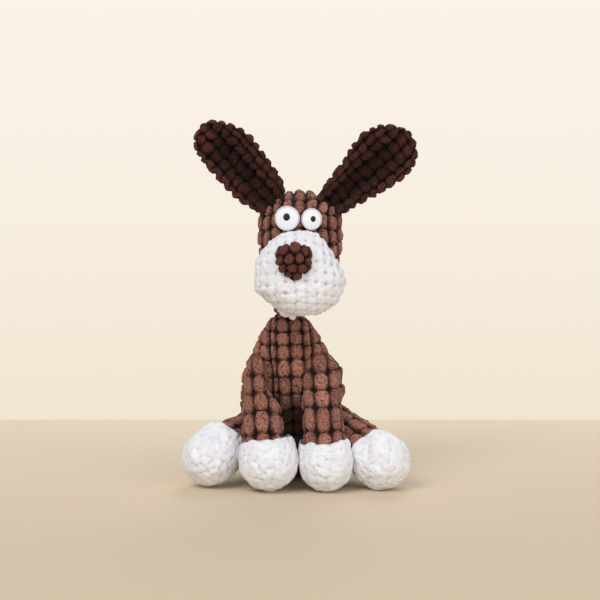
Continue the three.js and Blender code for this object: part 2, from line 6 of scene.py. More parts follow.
import bpy
import numpy as np
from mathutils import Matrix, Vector


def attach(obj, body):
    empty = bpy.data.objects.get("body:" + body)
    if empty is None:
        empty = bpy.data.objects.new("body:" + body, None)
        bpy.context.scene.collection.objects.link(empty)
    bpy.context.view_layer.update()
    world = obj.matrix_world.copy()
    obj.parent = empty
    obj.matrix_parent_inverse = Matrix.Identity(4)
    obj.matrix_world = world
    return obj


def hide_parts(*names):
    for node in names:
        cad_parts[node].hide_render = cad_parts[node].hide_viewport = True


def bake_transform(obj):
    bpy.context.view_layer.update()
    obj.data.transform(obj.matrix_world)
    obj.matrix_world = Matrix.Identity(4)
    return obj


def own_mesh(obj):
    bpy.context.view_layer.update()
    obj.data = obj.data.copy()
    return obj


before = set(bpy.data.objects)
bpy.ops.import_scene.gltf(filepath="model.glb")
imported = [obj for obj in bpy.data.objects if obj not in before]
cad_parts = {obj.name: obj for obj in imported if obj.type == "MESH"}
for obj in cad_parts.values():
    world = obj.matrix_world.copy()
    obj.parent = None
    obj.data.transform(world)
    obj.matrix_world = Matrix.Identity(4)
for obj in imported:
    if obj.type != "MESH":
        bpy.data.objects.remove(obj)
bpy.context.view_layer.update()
scene = bpy.context.scene
scene.view_settings.view_transform = "Standard"
MM = 0.001


def add_object(name, data):
    obj = bpy.data.objects.new(name, data)
    scene.collection.objects.link(obj)
    return obj


# ---------------- camera
DISTANCE = 1.2  # from the target, in metres
TARGET = Vector((5.76, -30.0, 133.8)) * MM
ELEVATION = math.radians(5)
camera_data = bpy.data.cameras.new("camera")
camera_data.lens = 100
camera_data.sensor_width = 36
camera = add_object("camera", camera_data)
camera.location = TARGET + DISTANCE * Vector((0, -math.cos(ELEVATION), math.sin(ELEVATION)))
camera.rotation_euler = (pi / 2 - ELEVATION, 0, 0)
scene.camera = camera


# ---------------- numbers
def vec(*values):
    return np.array(values, float)


def norm(v):
    return np.linalg.norm(v, axis=-1)


def unit(v):
    return v / np.maximum(norm(v), 1e-12)[..., None]


def clamp(x):
    return np.clip(x, 0, 1)


def arch(x, power=2):
    """Height of an arch that falls from 1 in the middle to 0 at a distance of 1."""
    return np.sqrt(clamp(1 - np.abs(x) ** power))


def stacked(*parts):
    return np.stack(np.broadcast_arrays(*parts), -1)


def running(points, axis):
    """Lengths along the lines of a grid of points, from the first point of each."""
    lengths = np.cumsum(norm(np.diff(points, axis=axis)), axis=axis)
    return np.concatenate([np.zeros_like(lengths.take([0], axis)), lengths], axis=axis)


def smooth(x, low=0.0, high=1.0):
    t = clamp((x - low) / (high - low))
    return t * t * (3 - 2 * t)


def scatter(*keys, seed=0):
    """A steady number from 0 to 1 for each set of whole numbers."""
    keys = np.broadcast_arrays(*keys)
    mask = np.uint64(0xFFFFFFFF)
    n = np.full(keys[0].shape, (seed * 2654435761 + 12345) % 2**32, np.uint64)
    for key in keys:
        n = ((n ^ (np.asarray(key, np.int64).astype(np.uint64) & mask)) * np.uint64(0x9E3779B1)) & mask
        n ^= n >> np.uint64(15)
        n = (n * np.uint64(0x85EBCA77)) & mask
        n ^= n >> np.uint64(13)
    return n / 2.0**32


def noise(points, size, seed=0):
    """Smooth noise from -1 to 1 in space, with lumps of that size."""
    q = np.asarray(points, float) / size
    base = np.floor(q).astype(np.int64)
    f = q - base
    f = f * f * (3 - 2 * f)
    total = 0.0
    for corner in product((0, 1), repeat=q.shape[-1]):
        weight = np.ones(q.shape[:-1])
        for axis, c in enumerate(corner):
            weight = weight * (f[..., axis] if c else 1 - f[..., axis])
        total = total + weight * scatter(*[base[..., a] + c for a, c in enumerate(corner)], seed=seed)
    return 2 * total - 1


def smooth_row(shares):
    """A row of shares as a smooth function of a place from 0 to 1."""
    y = np.array(shares, float)

    def at(place):
        p = clamp(place) * (len(y) - 1)
        i = np.minimum(np.floor(p).astype(int), len(y) - 1)
        w = p - i
        p0, p1 = y[np.maximum(i - 1, 0)], y[i]
        p2, p3 = y[np.minimum(i + 1, len(y) - 1)], y[np.minimum(i + 2, len(y) - 1)]
        v0, v1 = (p2 - p0) / 2, (p3 - p1) / 2
        return np.maximum(
            (2 * p1 - 2 * p2 + v0 + v1) * w**3 + (-3 * p1 + 3 * p2 - 2 * v0 - v1) * w**2 + v0 * w + p1, 0
        )

    return at


# ---------------- forms
ACROSS, FORWARD, UP = vec(1, 0, 0), vec(0, -1, 0), vec(0, 0, 1)


def straight(a, b):
    a, b = np.array(a, float), np.array(b, float)
    return lambda t: (a + (b - a) * t[..., None], np.broadcast_to(unit(b - a), t.shape + (3,)))


def curved(a, b, c, d):
    a, b, c, d = (np.array(p, float) for p in (a, b, c, d))
    t = np.linspace(0, 1, 401)[:, None]
    points = a * (1 - t) ** 3 + 3 * b * t * (1 - t) ** 2 + 3 * c * t**2 * (1 - t) + d * t**3
    lengths = running(points, 0)
    lengths /= lengths[-1]
    tangents = unit(np.gradient(points, axis=0))

    def at(s):
        place = np.stack([np.interp(s, lengths, points[:, i]) for i in range(3)], -1)
        return place, unit(np.stack([np.interp(s, lengths, tangents[:, i]) for i in range(3)], -1))

    return at


class Form:
    """Ellipses along a spine. half(place, along) gives the half sizes: left, right, front, back."""

    def __init__(self, spine, half, shift=0.0):
        self.spine, self.half, self.shift = spine, half, shift
        self.down = float(spine(np.array([0.5]))[1][0] @ UP) < 0
        phi = np.linspace(0, pi, 241)
        turn = np.linspace(-1.5 * pi, 0.5 * pi, 145)
        grid = self.point(*np.broadcast_arrays(phi[:, None], turn[None, :]))
        self.phi, self.turn = phi, turn
        self.rise, self.round = running(grid, 0), running(grid, 1)
        self.round -= self.round[:, [len(turn) // 2]]

    def point(self, phi, turn):
        phi, turn = np.broadcast_arrays(np.asarray(phi, float), np.asarray(turn, float) + self.shift)
        along = (1 - np.cos(phi)) / 2
        centre, tangent = self.spine(along)
        side = unit(ACROSS - (tangent @ ACROSS)[..., None] * tangent)
        depth = np.cross(tangent, side) * (-1 if self.down else 1)
        left, right, front, back = self.half(phi / pi, along)
        c, s = np.cos(turn), np.sin(turn)
        width = np.where(c > 0, left, right) * c
        thick = np.where(s < 0, front, back) * s
        return centre + side * width[..., None] + depth * thick[..., None]

    def normal(self, phi, turn):
        e = 1e-3
        low, high = (np.clip(phi + shift, e, pi - e) for shift in (-e, e))
        a = self.point(high, turn) - self.point(low, turn)
        b = self.point(phi, turn + e) - self.point(phi, turn - e)
        n = unit(np.cross(b, a))
        centre = self.spine((1 - np.cos(phi)) / 2)[0]
        out = np.sum(n * (self.point(phi, turn) - centre), -1, keepdims=True)
        return np.where(np.abs(out) > 1e-6, n * np.sign(np.median(out)), n)

    def ring(self, phi):
        """Lengths round the ring at phi, at each of self.turn, from the front."""
        at = np.interp(phi, self.phi, np.arange(len(self.phi)))
        low = min(int(at), len(self.phi) - 2)
        return self.round[low] * (1 - (at - low)) + self.round[low + 1] * (at - low)

    def height(self, phi, turn):
        """Length from the first end along the line of that turn."""
        i = np.interp(phi, self.phi, np.arange(len(self.phi)))
        j = np.interp(turn, self.turn, np.arange(len(self.turn)))
        a = np.clip(i.astype(int), 0, len(self.phi) - 2)
        b = np.clip(j.astype(int), 0, len(self.turn) - 2)
        fi, fj = i - a, j - b
        r = self.rise
        near, far = (r[a, c] * (1 - fi) + r[a + 1, c] * fi for c in (b, b + 1))
        return near * (1 - fj) + far * fj

    def rows(self, step, low=0.004, high=pi - 0.004, turn=-pi / 2):
        """Angles of rings that lie a step apart along one line."""
        fine = np.linspace(low, high, 1201)
        v = self.height(fine, np.full(fine.shape, turn))
        count = max(int(round((v[-1] - v[0]) / step)), 3)
        return np.interp(np.linspace(v[0], v[-1], count + 1), v, fine)

    def sizes(self, along):
        """The half sizes at a share of the length of a straight spine."""
        return self.half(np.arccos(1 - 2 * along) / pi, along)


def girth_form(spine, width, depth, shares):
    row = smooth_row(shares)
    return Form(spine, lambda place, along: [row(place) * size for size in (width, width, depth, depth)])


# ---------------- fleece
TURNED_IN = 2.2  # how far an edge of a panel turns in below its kernels
# Each kind of fleece: width and height of a kernel, how high it stands, how it is cut
Cut = namedtuple("Cut", "wide tall high half taper notch sharp rough touch", defaults=[None] * 6)
KINDS = {name: Cut(*values) for name, *values in (
    ("long", 10.5, 13.4, 4.2, 0.98, 0.48, 0.55, 3.2, 1.3, 0.28),
    ("head", 9.6, 11.2, 4.4, 0.96, 0.52, 0.62, 2.7, 2.7, 0.02),
    ("leg", 12.9, 14.8, 4.2, 0.98, 0.48, 0.55, 3.4, 1.2, 0.30),
    ("ear", 7.6, 8.0, 4.0, 0.98, 0.34, 0.62, 2.3, 2.4, 0.30),
    ("white", 7.6, 8.2, 2.2),
)}
SEED_HEIGHTS = {"paw": 1.9, "nose": 4.0}  # kernels that stand round scattered seeds


def kernels(u, v, kind, seed):
    """Height from 0 to 1 and tone of a fleece of long kernels at a place on the cloth."""
    k = KINDS[kind]
    if kind == "white":
        return white_kernels(u, v, seed)
    place = stacked(u, v)
    rough = k.rough
    uw = u / k.wide + 0.5 + 0.06 * rough * noise(place, 24, seed + 1)
    column = np.floor(uw)
    a = 2 * (uw - column) - 1
    slip = (scatter(column, seed=seed + 2) - 0.5) * 0.16 * rough
    vw = v / k.tall + slip + 0.06 * rough * noise(place, 18, seed + 3)
    row = np.floor(vw)
    b = 2 * (vw - row) - 1
    size = scatter(column, row, seed=seed + 4)
    lean = (scatter(column, row, seed=seed + 5) - 0.5) * 0.24 * rough
    ragged = 0.06 * noise(place, 2.6, seed + 7)
    a = a + lean * b * (1 - a * a) + ragged
    end = np.abs(b + ragged)
    half = k.half - (k.taper + 0.14 * (size - 0.5)) * end**3.6
    half = half - 0.05 * scatter(column, row, seed=seed + 8)
    across = clamp(1 - np.minimum(np.abs(a) / half, 1) ** k.sharp) ** 0.5
    touch = k.touch * clamp(1 - 1.5 * end**2)
    notch = 1 - k.notch * np.minimum(end, 1) ** 11 - 0.08 * end**2
    high = (touch + (1 - touch) * across) * notch * (0.84 + 0.16 * size)
    return clamp(high), 0.86 + 0.28 * scatter(column, row, seed=seed + 6)


def white_kernels(u, v, seed):
    """Plump kernels that touch all round, with a small slanting hole where four of them meet."""
    k = KINDS["white"]
    place = stacked(u, v)
    uw = u / k.wide + 0.12 * noise(place, 15, seed + 1)
    column = np.floor(uw)
    vw = v / k.tall + (scatter(column, seed=seed + 2) - 0.5) * 0.2 + 0.12 * noise(place, 13, seed + 3)
    row = np.floor(vw)
    a, b = 2 * (uw - column) - 1, 2 * (vw - row) - 1
    size = scatter(column, row, seed=seed + 4)
    dome = arch(a, 2.6) * arch(b, 2.6)
    du, dv = (uw - np.round(uw)) * k.wide, (vw - np.round(vw)) * k.tall
    tilt = 0.6 + 0.5 * (scatter(np.round(uw), np.round(vw), seed=seed + 6) - 0.5)
    c, t = np.cos(tilt), np.sin(tilt)
    hole = ((c * du + t * dv) / 2.2) ** 2 + ((c * dv - t * du) / 1.15) ** 2
    deep = 0.55 + 0.45 * scatter(np.round(uw), np.round(vw), seed=seed + 7)
    high = 0.62 + 0.38 * dome * (0.75 + 0.25 * size) - 0.62 * deep * np.exp(-hole)
    return clamp(high), 0.98 + 0.04 * scatter(column, row, seed=seed + 5)


def grain(points, seed, lift):
    """The uneven surface of the pile, in mm, where it stands up."""
    return (0.50 * noise(points, 2.6, seed) + 0.42 * noise(points, 1.6, seed + 1)) * smooth(lift, 0.1, 0.6)


def mesh_object(name, points, index, flip=False, hidden=None, **attributes):
    """A mesh with the faces of a grid of vertex numbers. Points are in mm. Faces whose corners all pass
    the test hidden are left out."""
    mesh = bpy.data.meshes.new(name)
    points, faces = points.reshape(-1, 3), grid_faces(index, flip)
    if hidden is not None:
        seen = ~hidden(points)
        faces = [f[seen[f].any(1)] for f in faces]
    sizes = np.concatenate([np.full(len(f), f.shape[1]) for f in faces if len(f)])
    loops = np.concatenate([f.ravel() for f in faces if len(f)]).astype(np.int32)
    used = np.unique(loops)
    remap = np.full(len(points), -1, np.int32)
    remap[used] = np.arange(len(used))
    points, loops = points[used] * MM, remap[loops]
    mesh.vertices.add(len(points))
    mesh.vertices.foreach_set("co", points.astype(np.float32).ravel())
    mesh.loops.add(len(loops))
    mesh.loops.foreach_set("vertex_index", loops)
    mesh.polygons.add(len(sizes))
    starts = np.concatenate([[0], np.cumsum(sizes)[:-1]]).astype(np.int32)
    mesh.polygons.foreach_set("loop_start", starts)
    mesh.polygons.foreach_set("use_smooth", np.ones(len(sizes), bool))
    mesh.update(calc_edges=True)
    for key, values in attributes.items():
        layer = mesh.attributes.new(key, "FLOAT", "POINT")
        layer.data.foreach_set("value", np.asarray(values, np.float32).ravel()[used])
    mesh.validate()
    return add_object(name, mesh)


def grid_faces(index, flip):
    """Faces of a grid of vertex indices, where neighbours may be the same vertex."""
    a, b, c, d = index[:-1, :-1], index[:-1, 1:], index[1:, 1:], index[1:, :-1]
    quads = np.stack([a, b, c, d], -1).reshape(-1, 4)
    if flip:
        quads = quads[:, ::-1]
    same = quads == np.roll(quads, -1, axis=1)
    whole = quads[~same.any(1)]
    threes = quads[same.sum(1) == 1]
    where = same[same.sum(1) == 1]
    triangles = threes[~where].reshape(-1, 3) if len(threes) else np.zeros((0, 3), int)
    return [whole, triangles]


def grid_index(rows, columns, pole=False, loop=True):
    """Numbers of the vertices of a grid. A loop ends on its first column, a pole has its first row in
    one point."""
    index = np.arange(rows * columns).reshape(rows, columns)
    if loop:
        index[:, -1] = index[:, 0]
    if pole:
        index[0] = index[0, 0]
    return index


def all_round(ring, half):
    return -half, half


def panel(name, form, phis, limits, kind, seed, step=0.85, anchor=None, side=1, seams=(True, True),
          end=False, start=0.0, shape=None, hidden=None, press=None, bend=None):
    """A panel of fleece on a form. limits(ring, half) gives its two edges as lengths round the ring
    from the front, and anchor(ring, half) the line that its columns of kernels follow. seams says
    which of these edges are turned in, and end whether the last row is."""
    high = KINDS[kind].high
    edges, anchors, rings = [], [], []
    for phi in phis:
        ring = form.ring(phi)
        half = min(-ring[0], ring[-1])
        at = anchor(ring, half) if anchor else 0.0
        rings.append(ring)
        anchors.append(at)
        edges.append(sorted(side * (edge - at) for edge in limits(ring, half)))
    lows, highs = np.array(edges).T
    lines = np.arange(math.floor(lows.min() / step), math.ceil(highs.max() / step) + 1) * step
    u = np.clip(lines[None, :], lows[:, None], highs[:, None])
    turn = np.stack([np.interp(at + side * row, ring, form.turn) for row, ring, at in zip(u, rings, anchors)])
    phi = np.broadcast_to(phis[:, None], u.shape)
    base, normal, v = form.point(phi, turn), form.normal(phi, turn), form.height(phi, turn)
    if bend is not None:
        v = bend(v, base)
    lift, tone = kernels(u, v + start, kind, seed)
    gap = np.full(u.shape, 99.0)
    sewn = (*seams, end)
    for wanted, reach in zip(sewn, (u - lows[:, None], highs[:, None] - u, v[-1:] - v)):
        if wanted:
            gap = np.minimum(gap, reach)
    if kind == "white":
        lift = lift * (0.96 + 0.04 * smooth(gap, 0, 1.0))
    else:
        lift = lift * np.sqrt(smooth(gap, -0.3, 2.6))
    rough = grain(base, seed, lift)
    out = base - normal * (high * (1 - lift) - rough)[..., None]
    rim = base - normal * (high + TURNED_IN)
    if press is not None:
        sunk, shade = press(base)
        out, rim, tone = out - normal * sunk[..., None], rim - normal * sunk[..., None], tone * shade
    if shape is not None:
        out, rim = shape(out), shape(rim)
    out[..., 2] = np.maximum(out[..., 2], 0)
    rim[..., 2] = np.maximum(rim[..., 2], 0.4)
    rows, columns = u.shape
    k_low = (np.searchsorted(lines, lows, "right") - 1).clip(0, columns - 1)
    k_high = np.maximum(k_low, np.searchsorted(lines, highs, "left").clip(0, columns - 1))
    k = np.clip(np.arange(columns)[None, :], k_low[:, None], k_high[:, None])
    size, each = rows * columns, np.arange(rows)
    inner = size + np.arange(rows * 2).reshape(rows, 2)
    index = np.concatenate([inner[:, :1], each[:, None] * columns + k, inner[:, 1:]], axis=1)
    index = index[:, slice(0 if seams[0] else 1, None if seams[1] else -1)]
    rims = np.stack([rim[each, k_low], rim[each, k_high]], 1)
    points = np.concatenate([out.reshape(-1, 3), rims.reshape(-1, 3)])
    if end:
        source = index[-1]
        pile = source < size
        low = np.where(pile[:, None], rim.reshape(-1, 3)[np.where(pile, source, 0)], points[source])
        index = np.concatenate([index, len(points) + np.arange(len(source))[None]])
        points = np.concatenate([points, low])
    below = len(points) - size
    lift = np.concatenate([lift.ravel(), np.zeros(below)])
    tone = np.concatenate([tone.ravel(), np.ones(below)])
    return mesh_object(name, points, index, (side < 0) != form.down, hidden, lift=lift, tone=tone)


def inside(form, low, high, margin):
    """A test for points that lie more than a margin inside a form with a straight spine."""
    def test(points):
        along = clamp((points[:, 2] - low[2]) / (high[2] - low[2]))
        left, right, front, back = form.sizes(along)
        d = points - (low + (high - low) * along[:, None])
        w = np.maximum(np.where(d[:, 0] > 0, left, right) - margin, 0.1)
        t = np.maximum(np.where(d[:, 1] < 0, front, back) - margin, 0.1)
        return (d[:, 0] / w) ** 2 + (d[:, 1] / t) ** 2 < 1

    return test


# ---------------- materials
def put(tree, socket, value):
    """Gives a socket a value, or the output of another node."""
    if hasattr(value, "is_output"):
        tree.links.new(value, socket)
    else:
        socket.default_value = value


def feed(tree, n, **values):
    """Sets the attributes and the inputs of a node. In the names of inputs _ stands for a space."""
    for key, value in values.items():
        if hasattr(n, key):
            setattr(n, key, value)
        else:
            put(tree, n.inputs[key.replace("_", " ")], value)
    return n


def node(tree, kind, **values):
    return feed(tree, tree.nodes.new("ShaderNode" + kind), **values)


def srgb(r, g, b):
    def linear(x):
        x /= 255
        return x / 12.92 if x <= 0.04045 else ((x + 0.055) / 1.055) ** 2.4
    return (linear(r), linear(g), linear(b), 1)


def shades(*stops):
    """Stops of a ramp, given as place, red, green and blue."""
    return [(place, srgb(*rgb)) for place, *rgb in stops]


def new_material(name, paint, *values):
    """A material whose shader gets what paint(tree, *values) gives."""
    material = bpy.data.materials.new(name)
    material.use_nodes = True
    tree = material.node_tree
    feed(tree, tree.nodes["Principled BSDF"], **paint(tree, *values))
    return material


def multiplied(tree, colour, *others):
    """The product of colours."""
    for other in others:
        n = node(tree, "Mix", data_type="RGBA", blend_type="MULTIPLY", clamp_factor=True)
        for socket, value in ((0, 1.0), (6, colour), (7, other)):
            put(tree, n.inputs[socket], value)
        colour = n.outputs[2]
    return colour


def ramp(tree, source, stops):
    """A colour or grey that follows a value, from places and colours or greys."""
    n = node(tree, "ValToRGB")
    while len(n.color_ramp.elements) < len(stops):
        n.color_ramp.elements.new(0.5)
    for element, (place, colour) in zip(n.color_ramp.elements, stops):
        element.position = place
        element.color = colour if hasattr(colour, "__len__") else (colour, colour, colour, 1)
    tree.links.new(source, n.inputs[0])
    return n.outputs[0]


def in_object(tree):
    return node(tree, "TexCoord").outputs["Object"]


def speckle(tree, scale, detail=2.0, rough=0.6):
    """Noise that stays with the piece. A scale is a number of lumps in a metre."""
    n = node(tree, "TexNoise", Scale=scale, Detail=detail, Roughness=rough, Vector=in_object(tree))
    return n.outputs["Fac"]


def relief(tree, strength, distance, height):
    """Fine relief in the light only. distance is in metres."""
    n = node(tree, "Bump", Strength=strength, Distance=distance, Height=height)
    return n.outputs["Normal"]


def fleece(tree, stops, specks, sheen, tint, bump):
    """Dense cut pile: dark between the kernels, partly its darker base and partly painted shade, light on
    top, with small dark curls.
    """
    lift, tone = (node(tree, "Attribute", attribute_name=key).outputs["Fac"]
                  for key in ("lift", "tone"))
    curls = ramp(tree, speckle(tree, 720, 3.0, 0.7),
                 [(0.38, 1 - specks), (0.48, 1.0), (0.62, 1 + 0.5 * specks)])
    patches = ramp(tree, speckle(tree, 170), [(0.3, 0.88), (0.7, 1.0)])
    scaled = node(tree, "VectorMath", operation="MULTIPLY")
    put(tree, scaled.inputs[0], multiplied(tree, ramp(tree, lift, stops), curls, patches))
    # tone is the kernels' own random tone; on the belly between the front legs and on the ears it also
    # carries painted shade and painted light.
    put(tree, scaled.inputs[1], node(tree, "CombineXYZ", X=tone, Y=tone, Z=tone).outputs[0])
    return dict(Base_Color=scaled.outputs[0], Roughness=0.96, Specular_IOR_Level=0.15,
                Sheen_Weight=sheen, Sheen_Roughness=0.55, Sheen_Tint=tint,
                Normal=relief(tree, bump, 0.0009, speckle(tree, 800, 4.0, 0.75)))


def thread(tree, colour, scale, shade, roughness, sheen):
    """Satin stitches: fine parallel threads with darker lines between them."""
    wave = node(tree, "TexWave", Scale=scale, Distortion=1.6, Detail=2.0, Detail_Scale=2.0,
                Vector=in_object(tree)).outputs["Fac"]
    lines = ramp(tree, wave, [(0.0, shade), (0.35, 1.0)])
    specks = ramp(tree, speckle(tree, 700), [(0.30, shade * 0.9), (0.42, 1.0)])
    return dict(Base_Color=multiplied(tree, colour, lines, specks), Roughness=roughness,
                Specular_IOR_Level=0.3, Sheen_Weight=sheen, Normal=relief(tree, 0.5, 0.0002, wave))


def fibre(tree):
    """Loose polyester fibre: pale, with fine strands and soft patches of painted shade for its hollows."""
    strands = ramp(tree, speckle(tree, 900, 5.0, 0.75), shades((0.3, 214, 212, 206), (0.6, 243, 242, 238)))
    # lumps: soft patches of painted shade, darker where the fibre would be in hollows
    lumps = ramp(tree, speckle(tree, 120), [(0.3, 0.9), (0.6, 1.0)])
    return dict(Base_Color=multiplied(tree, strands, lumps), Roughness=0.95, Sheen_Weight=0.3,
                Normal=relief(tree, 0.7, 0.0006, speckle(tree, 1100, 4.0, 0.75)))


def plastic(tree, light, dark, roughness, scale):
    """Thin moulded plastic with faint flow marks."""
    colour = ramp(tree, speckle(tree, scale, 3.0, 0.5), shades((0.35, *dark), (0.65, *light)))
    marks = ramp(tree, speckle(tree, scale * 2.5), [(0.3, roughness - 0.06), (0.7, roughness + 0.08)])
    return dict(Base_Color=colour, Roughness=marks, Specular_IOR_Level=0.5,
                Normal=relief(tree, 0.15, 0.0002, speckle(tree, scale * 4)))


# The darkest stops of each fleece, low between its kernels, are partly the pile's darker base and partly
# painted shade; the grey low stops of the white fleece are painted shade in its holes.
MATERIALS = {name: new_material(name, *values) for name, *values in (
    ("brown_fleece", fleece,
     shades((0.0, 22, 12, 11), (0.32, 56, 32, 26), (0.66, 128, 81, 68), (1.0, 168, 114, 98)),
     0.84, 0.15, (0.95, 0.70, 0.60, 1), 1.0),
    ("dark_fleece", fleece,
     shades((0.0, 16, 7, 6), (0.35, 34, 16, 13), (0.7, 60, 31, 26), (1.0, 80, 43, 37)),
     0.62, 0.06, (0.8, 0.55, 0.5, 1), 0.8),
    ("nose_fleece", fleece,
     shades((0.0, 16, 7, 6), (0.35, 42, 21, 17), (0.7, 82, 46, 39), (1.0, 102, 60, 52)),
     0.66, 0.08, (0.85, 0.55, 0.5, 1), 0.8),
    ("white_fleece", fleece,
     shades((0.0, 178, 175, 177), (0.35, 214, 211, 213), (0.62, 239, 237, 239), (1.0, 243, 242, 245)),
     0.04, 0.10, (1, 1, 1, 1), 0.3),
    ("fibrefill", fibre),
    ("squeaker_plastic", plastic, (226, 233, 235), (208, 217, 221), 0.38, 160),
    ("reed_plastic", plastic, (247, 247, 241), (233, 233, 226), 0.32, 240),
    ("eye_thread", thread, srgb(246, 244, 249), 520, 0.92, 0.6, 0.1),
    ("rim_thread", thread, srgb(222, 217, 224), 900, 0.86, 0.55, 0.1),
    ("black_thread", thread, srgb(20, 20, 24), 650, 0.6, 0.38, 0.0),
)}


def finish_piece(obj, slot, body, *nodes, fill=0.7, look=None):
    """Gives a piece the material of its slot, or of look, and hides the parts of its nodes. body is the body
    it rides on; given two bodies and the places in mm of a blend between them, the piece is only left where
    it stands, with its transform baked in, and nothing blends it."""
    obj.data.materials.append(MATERIALS[look or slot])
    if nodes:
        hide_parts(*nodes)
    if isinstance(body, str):
        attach(obj, body)
    else:
        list(body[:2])
        [tuple(place * MM) for place in body[2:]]
        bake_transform(obj)


# ---------------- measures of the legs
# Each leg: its hinge and the way it points; radii at the root, ankle and paw, and how far the paw
# reaches past its centre; lengths from the hinge to the seam and to the centre of the paw; how the
# ankle slants forward and sideways; the share of its radius that its front keeps at the root; where
# its kernels start; how far its ends sink and its paw end goes aside; how its inner side is cut.
Leg = namedtuple(
    "Leg", "pivot direction root ankle paw tall seam centre level tilt slim start sink aside close")
LEGS = {name: Leg(*values) for name, *values in (
    ("left_front", vec(19.275, -24.868, 89.431), vec(0.0629, -0.4102, -0.9098), 12.6, 16.1, 18.9, 20.5,
     61.4, 75.9, 0.42, -0.05, 0.55, 7.0, (0, 0), 0.0, (0.22, 0.05, 0.30)),
    ("right_front", vec(-22.849, -24.700, 87.525), vec(0.0879, -0.4233, -0.9017), 11.8, 16.0, 21.4, 20.5,
     59.5, 74.0, 0.30, -0.05, 0.55, 8.1, (0, 0), -3.0, (0.60, 0.34, 0.58)),
    ("left_hind", vec(27, -2, 38), vec(0.5961, -0.7481, -0.2916), 19, 18.5, 20.6, 20.6,
     51.5, 61.5, 0.0, 0.0, 1.0, 5.0, (0, 0), 0.0, (0, 0, 1)),
    ("right_hind", vec(-27, -2, 38), vec(-0.5988, -0.7235, -0.3433), 16.5, 17.8, 20.4, 20.4,
     37.0, 52.5, 0.0, 0.0, 1.0, 9.0, (6, -2.5), 0.0, (0, 0, 1)),
)}

# ---------------- torso
torso_row = smooth_row([0, 0.55, 0.84, 0.97, 1, 1, 0.91, 0.68, 0.47, 0.24, 0])
CHEST = {1: 19.2, -1: 15.4}  # from the front to the seam, on its left and right side
SHOULDERS = (("left_front", 12.0, 16.3), ("right_front", 11.6, 16.5))  # radii that press into the torso
CHEST_GAP = -4.4  # where a gap between two columns of kernels runs down the chest
PRESSED = 60  # length of a front leg that lies on the torso


def belly(height):
    """How far the belly draws in between the legs, in mm."""
    return 17 * smooth(height, 5, 18) * (1 - smooth(height, 30, 72))


torso = Form(
    curved((0, 0, -0.5), (0, 0, 42), (-1.1, -13, 84), (-3.6, -13, 126)),
    lambda place, along: [torso_row(place) * 37.6, torso_row(place) * 37.6,
                          torso_row(place) * 31 - belly(along * 126), torso_row(place) * 31],
)


def under_legs(points):
    """How deep the torso is pressed in where a front leg lies on it, and how much painted shade darkens its
    belly between the legs.
    """
    x, y, z = points[..., 0], points[..., 1], points[..., 2]
    sunk = np.zeros(points.shape[:-1])
    for name, root, ankle in SHOULDERS:
        direction = LEGS[name].direction
        offset = points - LEGS[name].pivot
        along = np.clip(offset @ direction, -3, PRESSED)
        away = norm(offset - along[..., None] * direction)
        reach = root + (ankle - root) * along / PRESSED
        sunk = np.maximum(sunk, 6.0 * smooth(reach + 1.0 - away, 0, 5) * smooth(offset @ direction, -8, 6))
    # hidden: where the belly lies between and behind the front legs; it gets painted shade
    hidden = (1 - smooth(z, 50, 73)) * smooth(-y, 0, 12) * (1 - smooth(np.abs(x), 20, 30))
    lumps = 4.6 * np.exp(-(((z - 79) / 6.5) ** 2)) + 3.6 * np.exp(-(((z - 65) / 6) ** 2))
    sunk = sunk - lumps * smooth(x, 18, 28) * np.exp(-((y / 14) ** 2))
    # The second value is the painted shade of the belly, as a share of its colour.
    return sunk, 1 - 0.72 * hidden


def shorter_above(v, points):
    """The kernels get shorter towards the neck."""
    return v + 0.28 * np.clip(points[..., 2] - 91, 0, None)


torso_rows = torso.rows(0.9)


def torso_panel(name, limits, seed, anchor, node_name, side=1):
    cloth = panel(name, torso, torso_rows, limits, "long", seed, step=KINDS["long"].wide / 12,
                  anchor=anchor, side=side, press=under_legs, bend=shorter_above)
    finish_piece(cloth, "brown_fleece", "torso", node_name)


torso_panel("chest_fleece", lambda ring, half: (-min(CHEST[-1], half), min(CHEST[1], half)), 11,
            lambda ring, half: CHEST_GAP, "torso_chest_panel")
for name, side, seed in (("left", 1, 21), ("right", -1, 31)):
    torso_panel(f"{name}_side_fleece", lambda ring, half: (side * min(CHEST[side], half), side * half), seed,
                lambda ring, half: side * (min(CHEST[side], half) + KINDS["long"].wide / 2),
                f"torso_{name}_side_panel", side)

# ---------------- neck
NECK = vec(-3.6, -13, 131)
neck = girth_form(
    straight(NECK - UP * 10, NECK + UP * 8.5), 11.5, 11.3, [0, 0.5, 0.8, 0.95, 1, 1, 1, 0.95, 0.8, 0.5, 0],
)
finish_piece(panel("neck_fleece", neck, neck.rows(0.85), all_round, "long", 41),
             "brown_fleece", ("neck", "head", NECK - UP * 5, NECK + UP * 4), "neck_cover")

# ---------------- head
HEAD_TALL = 79
HEAD_LOW = vec(5.9, -10, 134)
HEAD_TOP = HEAD_LOW + UP * HEAD_TALL
FACE_SEAM = -5.15  # from the front
head = girth_form(
    straight(HEAD_LOW, HEAD_TOP), 32, 27, [0, 0.35, 0.62, 0.82, 0.93, 0.99, 1, 0.94, 0.68, 0.38, 0],
)
head_rows = head.rows(0.9)
# The limits of each panel are given from where the head is widest, on its right and its left
for name, node_name, form, seed, limits in (
    ("left_face_fleece", "head_left_face_panel", head, 51,
     lambda right, left: (min(FACE_SEAM, left), left)),
    ("right_face_fleece", "head_right_face_panel", head, 61,
     lambda right, left: (right, max(FACE_SEAM, right))),
    ("back_head_fleece", "head_back_panel", Form(head.spine, head.half, shift=pi), 71,
     lambda right, left: (right, left)),
):
    cloth = panel(name, form, head_rows,
                  lambda ring, half: limits(*np.interp([-pi, 0.0], head.turn, ring)),
                  "head", seed, step=KINDS["head"].wide / 12)
    finish_piece(cloth, "brown_fleece", "head", node_name)

